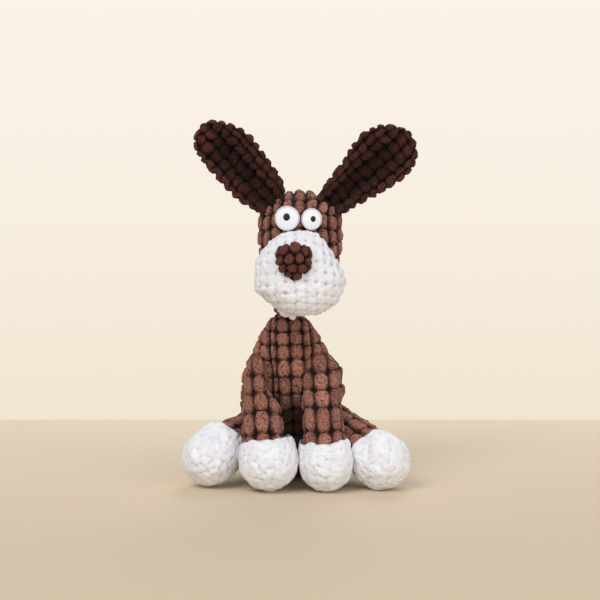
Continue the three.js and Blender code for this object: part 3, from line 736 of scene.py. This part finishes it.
# ---------------- muzzle
MUZZLE_LOW, MUZZLE_TOP = vec(5.9, -45, 123.4), vec(5.9, -39, 184.4)
MUZZLE_SEAM = -3.1  # from the front


def measured(places, sizes):
    return smooth_row(np.interp(np.linspace(0, 1, 25), places, sizes))


muzzle_left = measured(
    [0, 0.045, 0.097, 0.181, 0.272, 0.359, 0.43, 0.47, 0.529, 0.59, 0.654, 0.725, 0.815, 0.878, 0.94, 1],
    [0, 8.7, 13.2, 20, 27.3, 30.8, 33, 33, 29.9, 27, 23.8, 20, 15.8, 12.6, 8.5, 0])
muzzle_right = measured(
    [0, 0.045, 0.097, 0.181, 0.272, 0.34, 0.37, 0.452, 0.529, 0.59, 0.654, 0.725, 0.815, 0.878, 0.94, 1],
    [0, 2.5, 7.1, 16.4, 23.7, 30, 32.8, 32.8, 32.6, 31.8, 29.0, 24.8, 18.4, 13, 8.5, 0])
muzzle_depth = smooth_row([0, 0.46, 0.76, 0.94, 1, 0.96, 0.87, 0.72, 0.5, 0.26, 0])
muzzle = Form(
    straight(MUZZLE_LOW, MUZZLE_TOP),
    lambda place, along: [muzzle_left(place), muzzle_right(place), *[muzzle_depth(place) * 26] * 2],
)
muzzle_rows = muzzle.rows(0.75)
for name, side in (("left", 1), ("right", -1)):
    cloth = panel(f"{name}_muzzle_fleece", muzzle, muzzle_rows,
                  lambda ring, half: (MUZZLE_SEAM, side * half + MUZZLE_SEAM), "white", 81, step=7.8 / 11,
                  anchor=lambda ring, half: MUZZLE_SEAM, seams=(side < 0, side > 0),
                  hidden=inside(head, HEAD_LOW, HEAD_TOP, 5))
    finish_piece(cloth, "white_fleece", "head", f"muzzle_{name}_panel")

# ---------------- nose
NOSE = vec(1.5, -64.24, 162.9)
nose = girth_form(
    straight(NOSE - UP * 12.8 + FORWARD * 3.2, NOSE + UP * 14.8 - FORWARD * 1.5), 13.2, 10.4,
    [0, 0.22, 0.42, 0.72, 0.95, 1, 0.99, 0.93, 0.76, 0.42, 0],
)
# Places of the kernels of the nose, across and up from its middle
NOSE_KERNELS = [
    (-7.6, 8.6), (1.6, 10.2), (8.6, 8.0), (-11.5, 1.4), (-3.4, 3.0), (4.6, 4.4), (11.4, 0.6), (-9.4, -4.6),
    (-1.0, -4.0), (6.8, -4.2), (-4.6, -10.2), (1.8, -10.6), (-2.6, -14.0), (12.6, -6.0), (-13.0, 7.0),
    (13.0, 7.4),
]


def kernel_cells(points, seeds, seed, soft, pit, floor):
    """Kernels that stand round scattered seeds: height from 0 to 1, tone, and the marks of their corners."""
    near = np.full((len(points), 3), 1e9)
    which = np.zeros((len(points), 3), int)
    for number, place in enumerate(seeds):
        d = norm(points - place)
        stack = np.concatenate([near, d[:, None]], axis=1)
        names = np.concatenate([which, np.full((len(points), 1), number)], axis=1)
        order = np.argsort(stack, axis=1)[:, :3]
        near, which = np.take_along_axis(stack, order, 1), np.take_along_axis(names, order, 1)
    edge = (near[:, 1] - near[:, 0]) / 2
    corner = near[:, 2] - near[:, 0]
    high = floor + (1 - floor) * clamp(1 - (1 - clamp(edge / soft)) ** 2.4)
    trio = np.sort(which, axis=1)
    deep = scatter(trio[:, 0], trio[:, 1], trio[:, 2], seed=seed + 2)
    high = high - pit * smooth(deep, 0.30, 0.62) * np.exp(-((corner / 1.9) ** 2))
    return clamp(high), 0.96 + 0.08 * scatter(which[:, 0], seed=seed + 1)


def cell_piece(name, form, step, sides, seeds, kind, seed, soft, pit, floor,
               middle=None, rim=None, shape=None, hidden=None):
    """A whole form covered with scattered kernels. rim is how deep its open edge turns in."""
    turn = np.linspace(-pi, pi, sides + 1)[None, :]
    phis = form.rows(step, 0.0, pi)
    phi = np.broadcast_to(phis[:, None], (len(phis), sides + 1))
    base, normal = form.point(phi, turn), form.normal(phi, turn)
    places = base.reshape(-1, 3)
    at = places if middle is None else middle[0] + unit(places - middle[0]) * middle[1]
    lift, tone = kernel_cells(at + 0.5 * noise(places, 3.0, seed + 9)[:, None], seeds, seed, soft, pit, floor)
    lift, tone = lift.reshape(phi.shape), tone.reshape(phi.shape)
    if rim is not None:
        v = form.height(phi, turn)
        lift = lift * (0.35 + 0.65 * smooth(v[-1:] - v, -0.2, 1.6))
    high = SEED_HEIGHTS[kind]
    rough = grain(base, seed, lift) * (0.6 if kind == "paw" else 1)
    out = base - normal * (high * (1 - lift) - rough)[..., None]
    if rim is not None:
        out = np.concatenate([out, base[-1:] - normal[-1:] * (high + rim)])
        lift, tone = np.concatenate([lift, lift[-1:] * 0]), np.concatenate([tone, tone[-1:]])
    if shape is not None:
        out = shape(out)
    index = grid_index(*out.shape[:2], pole=True)
    if rim is None:
        index[-1] = index[-1, 0]
    return mesh_object(name, out, index, kind == "paw", hidden, lift=lift, tone=tone)


nose_seeds = [NOSE + vec(x, -10.4 * math.sqrt(max(0.04, 1 - (x / 14) ** 2 - (z / 15) ** 2)), z)
              for x, z in NOSE_KERNELS]
finish_piece(cell_piece("nose_fleece", nose, 0.6, 130, nose_seeds, "nose", 101, 2.3, 0.9, 0.26,
                        hidden=inside(muzzle, MUZZLE_LOW, MUZZLE_TOP, 4)),
             "nose_fleece", "head", "nose_cover")


# ---------------- eyes
def face_at(x, z):
    """Depth of the front of the head at a place seen from the front."""
    along = clamp((z - HEAD_LOW[2]) / HEAD_TALL)
    left, right, front, back = head.sizes(along)
    off = np.clip((x - HEAD_LOW[0]) / np.maximum(left, 1), -0.98, 0.98)
    return HEAD_LOW[1] - front * np.sqrt(1 - off**2)


def on_face(centre, radii, reach, angle):
    """Places on an ellipse in front of the face, and the depth of the pile there."""
    x = centre[0] + radii[0] * reach * np.cos(angle)
    z = centre[1] + radii[1] * reach * np.sin(angle)
    return x, z, face_at(centre[0] + 0.6 * (x - centre[0]), z)


def disc_piece(name, centre, radii, profile, rings=26, sides=96):
    """A piece sewn on the face: profile(share, x, z) is how far it stands off the pile, in mm."""
    share = np.linspace(0, 1, rings)[:, None]
    x, z, base = on_face(centre, radii, share, np.linspace(0, 2 * pi, sides + 1)[None, :])
    points = stacked(x, base - profile(share, x, z), z)
    points = np.concatenate([points, points[-1:] - FORWARD * 3.0])
    return mesh_object(name, points, grid_index(rings + 1, sides + 1, pole=True))


def ring_piece(name, centre, radii, tube=0.65, lift=0.6, stitches=64, sides=336, around=14):
    """A raised edge of thread wound over a cord."""
    angle = np.linspace(0, 2 * pi, sides + 1)[:, None]
    turn = np.linspace(0, 2 * pi, around + 1)[None, :]
    ridge = 0.13 * np.abs(np.sin(angle * stitches / 2 + 0.25 * np.cos(turn)))
    swell = (tube + ridge) * (1 + 0.08 * np.sin(3 * angle + 1))
    x, z, base = on_face(centre, radii, 1 + swell * np.cos(turn) / radii[0], angle)
    points = stacked(x, base - lift - swell * 0.9 * np.sin(turn), z)
    index = grid_index(sides + 1, around + 1)
    index[-1] = index[0]
    return mesh_object(name, points, index)


def satin(x, z, size=0.55):
    """Slight ridges of thread that run across the patch."""
    return 0.05 * np.sin(2 * pi * (x + 0.3 * z) / size)


# Each eye: centre and radii of its patch, centre and radii of its pupil
for name, centre, (wide, tall), pupil, pupil_radii in (
    ("left", (14.1, 192.2), (7.3, 7.7), (15.1, 192.4), (2.0, 2.3)),
    ("right", (-3.4, 192.8), (8.9, 8.8), (-3.8, 193.7), (2.6, 2.8)),
):
    white = disc_piece(f"{name}_eye_white", centre, (wide - 0.5, tall - 0.5),
                       lambda share, x, z: 0.9 + 0.9 * (1 - share**2) + satin(x, z))
    finish_piece(white, "eye_thread", "head", f"{name}_eye_patch", fill=None)
    rim = ring_piece(f"{name}_eye_rim", centre, (wide - 0.65, tall - 0.65))
    finish_piece(rim, "eye_thread", "head", f"{name}_eye_edge_stitch", fill=None, look="rim_thread")
    black = disc_piece(f"{name}_eye_pupil", pupil, pupil_radii, lambda share, x, z: (
        1.5 + 0.8 * arch(share, 2.4) + satin(z, x, 0.5)), rings=14, sides=48)
    finish_piece(black, "black_thread", "head", f"{name}_pupil", fill=None)

# ---------------- ears
# Each ear: its side, the seed of its notches, how it leans from upright in degrees, its length and
# hinge; places along it, and the widths of its outer and its inner half there
Ear = namedtuple("Ear", "side seed lean length pivot along outer inner")
EARS = {name: Ear(*values) for name, *values in (
    ("left", 1, 301, 48, 76.5, vec(28.4, -10, 203),
     [-4, 0, 5, 15, 27, 39, 51, 59, 66, 71, 74.5, 76.5],
     [10, 11.3, 12.2, 14.6, 17.6, 20.6, 21.8, 21.5, 18.8, 14.5, 8.5, 0],
     [10, 12.0, 13.4, 15.7, 17.6, 21.6, 23.2, 21, 17, 12, 7, 0]),
    ("right", -1, 311, 42, 75, vec(-15.1, -10, 204),
     [-4, 0, 5.6, 14.5, 25, 36, 46, 55, 63, 69, 72.8, 75],
     [10, 12.1, 14, 17, 18.3, 18.3, 18.1, 17.9, 16.8, 13, 8.5, 0],
     [10, 13.5, 16.3, 18.6, 19.7, 20.8, 21.5, 19.8, 15.5, 11, 7.5, 0]),
)}
EAR_ROOT = 4  # length of an ear below its hinge
EAR_COLUMNS = 95


def ear_direction(ear):
    lean = math.radians(ear.lean)
    return vec(ear.side * math.sin(lean), 0, math.cos(lean))


def ear_layer(name, ear, face, seed):
    """One layer of an ear: a cupped sheet whose inner edge is rolled forward."""
    length, direction = ear.length, ear_direction(ear)
    across = np.cross(direction, FORWARD) * ear.side
    t = np.sin(np.linspace(0, pi / 2, int((length + EAR_ROOT) / 0.68 * 1.25)))[:, None]
    along = -EAR_ROOT + (length + EAR_ROOT) * t
    s = np.sin(np.linspace(-pi / 2, pi / 2, EAR_COLUMNS))[None, :]
    s = 0.5 * s + 0.5 * np.linspace(-1, 1, EAR_COLUMNS)[None, :]
    middle_line = EAR_COLUMNS // 2
    outer, inner = (np.sqrt(np.interp(along, ear.along, np.square(edge)))
                    for edge in (ear.outer, ear.inner))
    flat = stacked(along, np.where(s > 0, outer, inner) * s)
    notch = np.zeros(flat.shape[:2])
    for column, half in ((0, s[0] <= 0), (-1, s[0] > 0)):
        edge = flat[:, column]
        steps = running(edge, 0)
        q = steps[-1] - steps
        q = q + 2.2 * smooth(q, 0, 9) * noise(q[:, None], 11, seed=ear.seed + column)
        notch[:, half] = (np.abs(2 * ((q / 7.8 + 0.5) % 1) - 1) ** 2.6)[:, None]
    share = clamp(along / length)
    border = 1 - (1 - np.abs(s) ** 5) * (1 - smooth(along, length - 7, length))
    core = stacked(np.minimum(along, length - 20), 0 * s)
    flat = flat - unit(flat - core) * (1.25 * notch * border * smooth(along, 4, 12))[..., None]
    cup = np.where(s > 0, 8.0 - 2.0 * share, 11.0 + 1.0 * share) * np.abs(s) ** 2.0
    cup = cup * (0.45 + 0.55 * smooth(share, 0, 0.3))
    full = np.interp(0.8 * length, ear.along, ear.outer)
    cup = cup * np.minimum(np.where(share > 0.8, np.where(s > 0, outer, inner) / full, 1), 1)
    curl = 6.0 * share**2 + 7.0 * (1 - smooth(along, 0, 22))
    edge = arch(s, 5) * arch(t, 9)
    roll = np.exp(-((s + 0.64) / 0.32) ** 2) * smooth(share, -0.05, 0.1) + 0.6 * smooth(share, 0.80, 0.92)
    roll = roll + 0.4 * np.exp(-((s - 0.8) / 0.2) ** 2)
    thick = (4.3 + (5.4 * roll if face > 0 else 0.0)) * edge
    base = (ear.pivot + direction * flat[..., :1] + across * flat[..., 1:]
            + FORWARD * (cup + curl + face * thick)[..., None])
    du, dv = np.gradient(base, axis=1), np.gradient(base, axis=0)
    normal = unit(np.cross(du, dv))
    normal *= np.sign(np.median(normal @ FORWARD)) * face
    last = np.searchsorted(along[:, 0], length - 1.5)
    normal[last:] = unit(normal[last - 1].mean(axis=0))
    u, rise = running(base, 1), running(base, 0)
    u = 0.4 * (u - u[:, [middle_line]]) + 0.6 * flat[..., 1]
    v = 0.7 * along + 0.3 * rise[:, [middle_line]] + 1.6 * noise(base, 9, seed + 5)
    lift, tone = kernels(u + 1.6 * noise(base, 8, seed + 6), v, "ear", seed)
    rounded = smooth(border, 0.3, 0.85)
    lift = lift * (1 - rounded) + (1 - 0.55 * notch) * rounded
    high = KINDS["ear"].high
    rough = 1.3 * grain(base, seed, lift)
    out = base - normal * (high * (1 - lift) * (0.35 + 0.65 * edge) - rough)[..., None]
    # Painted shade darkens the hollow of the front layer of the ear.
    shaded_hollow = smooth(s, -0.42, -0.2) * (1 - smooth(s, 0.25, 0.75)) * (1 - smooth(share, 0.70, 0.88))
    # Painted light makes the tip and the outer edge of the ear lighter.
    lit = smooth(share, 0.7, 0.9) + smooth(s, 0.5, 0.9) * smooth(share, 0.2, 0.7)
    tone = tone * (1 - 0.62 * shaded_hollow * (face > 0)) * (1 + 0.22 * np.minimum(lit, 1))
    index = grid_index(*out.shape[:2], loop=False)
    index[-1] = index[-1, 0]
    return mesh_object(name, out, index, face > 0, lift=lift, tone=tone)


for name, ear in EARS.items():
    start, end = (ear.pivot + ear_direction(ear) * reach for reach in (-3, 14))
    for layer, face in (("front", 1), ("back", -1)):
        seed = 110 + 10 * (face > 0) + (ear.side > 0)
        finish_piece(ear_layer(f"{name}_ear_{layer}_fleece", ear, face, seed), "dark_fleece",
                     ("head", f"{name}_ear", start, end), f"{name}_ear_{layer}", fill=0.2)

# ---------------- legs
def slant(leg, offset, direction):
    """How far the line of the ankle is shifted along the leg at a place beside it."""
    forward = unit(FORWARD - direction * (FORWARD @ direction))
    return leg.level * (offset @ forward) + leg.tilt * (offset @ ACROSS)


def paw_piece(name, leg, seed, step=0.72):
    direction = leg.direction
    centre = leg.pivot + direction * leg.centre
    tall, wide, rise = leg.tall, leg.paw, leg.centre - leg.seam
    top = leg.ankle + 0.6

    def half(place, along):
        s = tall - along * (tall + rise)
        below = clamp(1 - np.abs(np.clip(s, 0, None) / tall) ** 2.15) ** (1 / 2.15)
        above = top / wide + (1 - top / wide) * arch(np.clip(-s, 0, None) / rise)
        return [wide * np.where(s > 0, below, above)] * 4

    sunk = -UP * leg.sink[1]
    form = Form(straight(centre + direction * tall, centre - direction * rise + sunk), half)
    count = int(4.3 * pi * wide * wide / 44)
    n = np.arange(count) + 0.5
    z = 1 - 2 * n / count
    r = np.sqrt(1 - z * z)
    angle = n * pi * (3 - math.sqrt(5)) + seed
    ball = stacked(r * np.cos(angle), z, r * np.sin(angle))
    ball = unit(ball + 0.07 * (scatter(np.arange(count)[:, None], np.arange(3)[None, :], seed=seed) - 0.5))

    def shape(points):
        offset = points - centre
        along = -(offset @ direction)
        slide = smooth(along, -2, rise) * (slant(leg, offset, direction) - 2.2)
        points = points + direction * slide[..., None]
        points = points + unit(offset) * (1.0 * noise(points, 7.5, seed + 3))[..., None]
        ragged = 1.5 * noise(points, 4.5, seed + 4) * smooth(along, rise - 5, rise)
        points = points - direction * ragged[..., None]
        points[..., 2] = np.maximum(points[..., 2], 0)
        return points

    return cell_piece(name, form, step, int(2 * pi * wide / step), centre + ball * (wide - 1), "paw",
                      seed, 2.4, 0.55, 0.89, middle=(centre, wide - 1), rim=4.5, shape=shape)


OVERLAP = 6.5  # how far the cover of a leg reaches into its paw


def leg_shares(leg, along):
    """How much of its radius a leg keeps on its inner side, its outer side and its front."""
    cut, low, high = leg.close
    slim = 1 - leg.slim
    near = leg.slim + slim * smooth(along, 0.10, 0.62)
    close = 1 - cut * (1 - smooth(along, low, high))
    away = 1 - 0.55 * slim * (1 - smooth(along, 0.02, 0.30))
    return close, away, near


def leg_cap(leg):
    """Height of the dome at the root of a leg."""
    return leg.root * (0.55 if leg.slim < 1 else 1.0)


def leg_piece(name, leg, seed):
    root, ankle, cap = leg.root, leg.ankle, leg_cap(leg)
    start = leg.pivot - leg.direction * cap - UP * leg.sink[0]
    end = leg.pivot + leg.direction * (leg.seam + OVERLAP)
    end = end - UP * leg.sink[1] + ACROSS * leg.aside
    length = np.linalg.norm(end - start)
    direction = unit(end - start)
    inward = -np.sign(leg.pivot[0])

    def half(place, along):
        r = root + (ankle - root) * along
        r = r * arch(clamp(1 - along * length / cap))
        close, away, near = leg_shares(leg, along)
        left, right = (r * close, r * away) if inward > 0 else (r * away, r * close)
        return [left, right, r * near, r]

    def shape(points):
        offset = points - end
        slide = (1 - smooth(-(offset @ direction), 0, 26)) * slant(leg, offset, direction)
        return points + direction * slide[..., None]

    form = Form(straight(start, end), half)
    return panel(name, form, form.rows(0.9), all_round, "leg", seed, step=KINDS["leg"].wide / 15, end=True,
                 start=leg.start, shape=shape)


for number, (name, leg) in enumerate(LEGS.items()):
    back, ahead = (-6, 26) if name.endswith("front") else (0, 32)
    start, end = (leg.pivot + leg.direction * reach for reach in (back, ahead))
    seed = 150 + 10 * number
    finish_piece(leg_piece(f"{name}_leg_fleece", leg, seed), "brown_fleece",
                 ("torso", f"{name}_leg", start, end), f"{name}_leg_cover")
    finish_piece(paw_piece(f"{name}_paw_fleece", leg, seed + 5), "white_fleece", f"{name}_leg",
                 f"{name}_paw_cover", fill=0.8)

# ---------------- chin
chin = girth_form(
    straight((3.5, -31, 122.6), (-10, -32.5, 128.4)), 4.4, 3.7, [0, 0.6, 0.85, 1, 1, 1, 1, 0.95, 0.8, 0.5, 0],
)
finish_piece(panel("chin_tuck_fleece", chin, chin.rows(0.6), all_round, "white", 141, step=0.6),
             "white_fleece", "head")

# ---------------- stuffing
FIBRE_STEP = 0.0022  # in metres


def filling(name, body, reshape):
    """The loose fibre of a node of stuffing, in the same form, with its lumps."""
    copy = add_object("copy", bpy.data.objects[name].data.copy())
    remesh = copy.modifiers.new("remesh", "REMESH")
    remesh.mode, remesh.voxel_size = "VOXEL", FIBRE_STEP
    bpy.context.view_layer.update()
    mesh = bpy.data.meshes.new_from_object(copy.evaluated_get(bpy.context.evaluated_depsgraph_get()))
    bpy.data.objects.remove(copy)
    points, normals = (np.zeros(len(mesh.vertices) * 3) for _ in range(2))
    mesh.vertices.foreach_get("co", points)
    mesh.vertices.foreach_get("normal", normals)
    points, normals = points.reshape(-1, 3) / MM, normals.reshape(-1, 3)
    points = points - normals * (0.6 + 0.35 * noise(points, 7, 7))[:, None]
    if reshape is not None:
        points = reshape(points)
    mesh.vertices.foreach_set("co", (points * MM).ravel())
    mesh.materials.clear()
    mesh.polygons.foreach_set("use_smooth", np.ones(len(mesh.polygons), bool))
    mesh.update()
    finish_piece(add_object(name.replace("stuffing", "fibre"), mesh), "fibrefill", body, name)


def held(d, wide, deep):
    """The share of an offset that stays inside an ellipse."""
    return np.minimum(1, 1 / np.maximum(np.hypot(d[0] / wide, d[1] / deep), 1e-6))


def behind_chest(points):
    """Keeps the fibre behind the front of the torso, where its cover is drawn in or pressed in."""
    steps = np.linspace(0, 1, 120)
    spine = torso.spine(steps)[0]
    along = np.interp(points[:, 2], spine[:, 2], steps)
    left, right, front, back = torso.sizes(along)
    centre = np.stack([np.interp(along, steps, spine[:, axis]) for axis in (0, 1)], -1)
    d = points[:, :2] - centre
    sunk = np.clip(under_legs(points + unit(points * vec(1, 1, 0)) * 5.0)[0], 0, None)
    low = 4 * (1 - smooth(points[:, 2], 20, 32))
    wide = np.maximum(left - 8.5 - 1.0 * sunk - 0.5 * low, 0.5)
    deep = np.maximum(np.where(d[:, 1] < 0, front - 9.0 - 1.3 * sunk - low, back - 7.5), 0.5)
    keep = held(d.T, wide, deep)
    return np.concatenate([centre + d * keep[:, None], np.maximum(points[:, 2:], 6.0)], -1)


def in_leg(leg, points):
    """Keeps the fibre of a leg inside the slimmer or lower form of its cover."""
    pivot, direction, seam = leg.pivot, leg.direction, leg.seam
    cap, slim = leg_cap(leg), leg.slim < 1
    offset = points - pivot
    along = offset @ direction
    radial = offset - along[:, None] * direction
    share = clamp((along + cap) / (seam + OVERLAP + cap))
    close, away, near = leg_shares(leg, share)
    r = leg.root + (leg.ankle - leg.root) * share
    r = r * arch(clamp(1 - share * (seam + cap) / cap))
    side = radial[:, 0] * np.sign(pivot[0])
    inset = 6.4 + 6.0 * (1 - smooth(along, 0, 26)) * slim
    along = np.where((along < 20) & slim, 20 + 0.1 * (along - 20), along)
    wide = np.maximum(r * np.where(side < 0, close, away) - inset, 0.6)
    deep = np.maximum(r * np.where(radial[:, 1] < 0, near, 1) - inset, 0.6)
    in_paw = smooth(along, seam - 1, seam + 5)
    keep = held((radial[:, 0], np.hypot(radial[:, 1], radial[:, 2])), wide, deep) * (1 - in_paw) + in_paw
    share = smooth(along, 0, seam)
    fade = 1 - smooth(along, seam, leg.centre)
    low = leg.sink[0] * (1 - share) + leg.sink[1] * share * fade
    points = pivot + along[:, None] * direction + radial * keep[:, None] - UP * low[:, None]
    points = points + ACROSS * (leg.aside * clamp(along / seam) * fade)[:, None]
    points[:, 2] = np.maximum(points[:, 2], 2.5)
    return points


def low_in_neck(points):
    return NECK - UP * 2 + (points - NECK) * vec(0.78, 0.78, 0.7)


def in_head(points):
    """Keeps the fibre inside the cover of the head."""
    along = np.clip((points[:, 2] - HEAD_LOW[2]) / (HEAD_TOP[2] - HEAD_LOW[2]), 0.06, 0.94)
    left, right, front, back = head.sizes(along)
    d = points[:, :2] - HEAD_LOW[:2]
    d = d * held(d.T, np.maximum(left - 9, 0.5), np.maximum(front - 9, 0.5))[:, None]
    return np.concatenate([HEAD_LOW[:2] + d, np.clip(points[:, 2:], HEAD_LOW[2] + 5, HEAD_TOP[2] - 11)], -1)


for name, body, reshape in (
    ("torso_stuffing_front", "torso", behind_chest), ("torso_stuffing_back", "torso", behind_chest),
    ("neck_stuffing", "neck", low_in_neck), ("head_stuffing", "head", in_head),
    ("muzzle_stuffing", "head", None), ("nose_stuffing", "head", None),
):
    filling(name, body, reshape)
for name, leg in LEGS.items():
    filling(f"{name}_leg_stuffing", f"{name}_leg", lambda points: in_leg(leg, points))

# ---------------- squeaker
SQUEAKER = vec(0, -7.72, 70)
BULB_RADIUS, BULB_HALF, BULB_WALL, BULB_EDGE, MOUTH = 17, 11, 0.8, 5, 4.3
BULB_SIDES = 96


def bulb_outline(inset):
    """Places (radius, depth) from the mouth on the front face to the middle of the back face."""
    r, half, edge = BULB_RADIUS - inset, BULB_HALF - inset, BULB_EDGE - inset
    side = BULB_HALF - BULB_EDGE
    turns = [pi / 48 * step for step in range(1, 25)]
    places = [(x, -half + 0.25 * math.cos(pi * x / 6)) for x in np.linspace(MOUTH, r - edge, 14)]
    places += [(r - edge + edge * math.sin(a), -half + edge - edge * math.cos(a)) for a in turns]
    places += [(r + 0.45 * math.exp(-((y / 0.7) ** 2)) * (inset == 0), y)
               for y in np.linspace(-side, side, 41)[1:]]
    places += [(r - edge + edge * math.cos(a), half - edge + edge * math.sin(a)) for a in turns]
    places += [(x, half - 0.25 + 0.25 * math.cos(pi * x / 6)) for x in np.linspace(r - edge, 0, 16)[1:]]
    return places


outline = np.array(bulb_outline(0) + bulb_outline(BULB_WALL)[::-1] + bulb_outline(0)[:1])
angle = np.linspace(0, 2 * pi, BULB_SIDES + 1)[None, :]
points = SQUEAKER + stacked(outline[:, :1] * np.cos(angle), outline[:, 1:], outline[:, :1] * np.sin(angle))
index = grid_index(len(outline), BULB_SIDES + 1)
on_axis = outline[:, 0] < 1e-6
index[on_axis] = index[on_axis][:, :1]
index[-1] = index[0]
bulb = mesh_object("squeaker_bulb", points, index)
finish_piece(bulb, "squeaker_plastic", "torso", "squeaker_bladder", fill=None)
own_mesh(bulb)
for name, slot in (("squeaker_reed_plug", "squeaker_plastic"), ("squeaker_reed", "reed_plastic")):
    part = bpy.data.objects[name]
    part.data.materials.clear()
    part.data.materials.append(MATERIALS[slot])

# ---------------- light and floor
world = bpy.data.worlds.new("studio")
scene.world = world
world.use_nodes = True
tree = world.node_tree
tree.nodes.clear()
path = node(tree, "LightPath")
rays = path.outputs["Is Camera Ray"]
for kind in ("Is Glossy Ray", "Is Transmission Ray"):
    either = node(tree, "Math", operation="MAXIMUM")
    put(tree, either.inputs[0], rays)
    put(tree, either.inputs[1], path.outputs[kind])
    rays = either.outputs[0]


def share_of(tree, kind, axis, low, high):
    """Where a coordinate lies between two values."""
    parts = node(tree, "SeparateXYZ", Vector=node(tree, "TexCoord").outputs[kind])
    share = node(tree, "MapRange", From_Min=low, From_Max=high, Value=parts.outputs[axis])
    return share.outputs["Result"]


# Painted shade: the backdrop that the camera sees is darker towards the bottom.
wall = ramp(tree, share_of(tree, "Generated", "Z", -0.16, 0.10),
            shades((0.0, 240, 229, 209), (0.25, 244, 234, 217), (0.5, 248, 239, 225), (1.0, 251, 243, 232)))
mix = node(tree, "MixShader")
put(tree, mix.inputs[0], rays)
for number, strength, colour in ((1, 0.5, (0.95, 0.975, 1.0, 1)), (2, 1.0, wall)):
    background = node(tree, "Background", Strength=strength, Color=colour)
    put(tree, mix.inputs[number], background.outputs[0])
put(tree, node(tree, "OutputWorld").inputs[0], mix.outputs[0])


def lamp(name, place, target, power, size, colour=(0.97, 0.985, 1)):
    data = bpy.data.lights.new(name, "AREA")
    data.energy, data.size, data.color = power, size, colour
    obj = add_object(name, data)
    obj.location = place
    obj.rotation_euler = (Vector(target) - Vector(place)).to_track_quat("-Z", "Y").to_euler()


MIDDLE = (0, 0, 0.12)
lamp("key", (-0.6, -0.95, 1.3), MIDDLE, 11.0, 0.8)
lamp("fill", (0.95, -0.95, 0.45), MIDDLE, 4.0, 0.9)
lamp("low", (0.1, -1.3, 0.16), MIDDLE, 3.8, 0.9, (0.88, 0.94, 1))
lamp("back", (0.2, 1.0, 1.1), (0, 0, 0.15), 6.0, 0.8)

FLOOR_BACK = 0.263  # where the photograph has its horizon, in metres


def cream(tree):
    # Painted shade: the floor is darker towards the front, near the camera.
    stops = shades((0.0, 200, 182, 156), (0.4, 210, 191, 165), (0.75, 224, 205, 178), (1.0, 233, 216, 190))
    colour = ramp(tree, share_of(tree, "Object", "Y", -0.55, FLOOR_BACK), stops)
    return dict(Base_Color=colour, Roughness=0.8, Specular_IOR_Level=0.1)


mesh = bpy.data.meshes.new("floor")
corners = [(-1.5, -1.25, 0), (1.5, -1.25, 0), (1.5, FLOOR_BACK, 0), (-1.5, FLOOR_BACK, 0)]
mesh.from_pydata(corners, [], [(0, 1, 2, 3)])
floor = add_object("floor", mesh)
floor.location.z = -0.0002
mesh.materials.append(new_material("floor", cream))
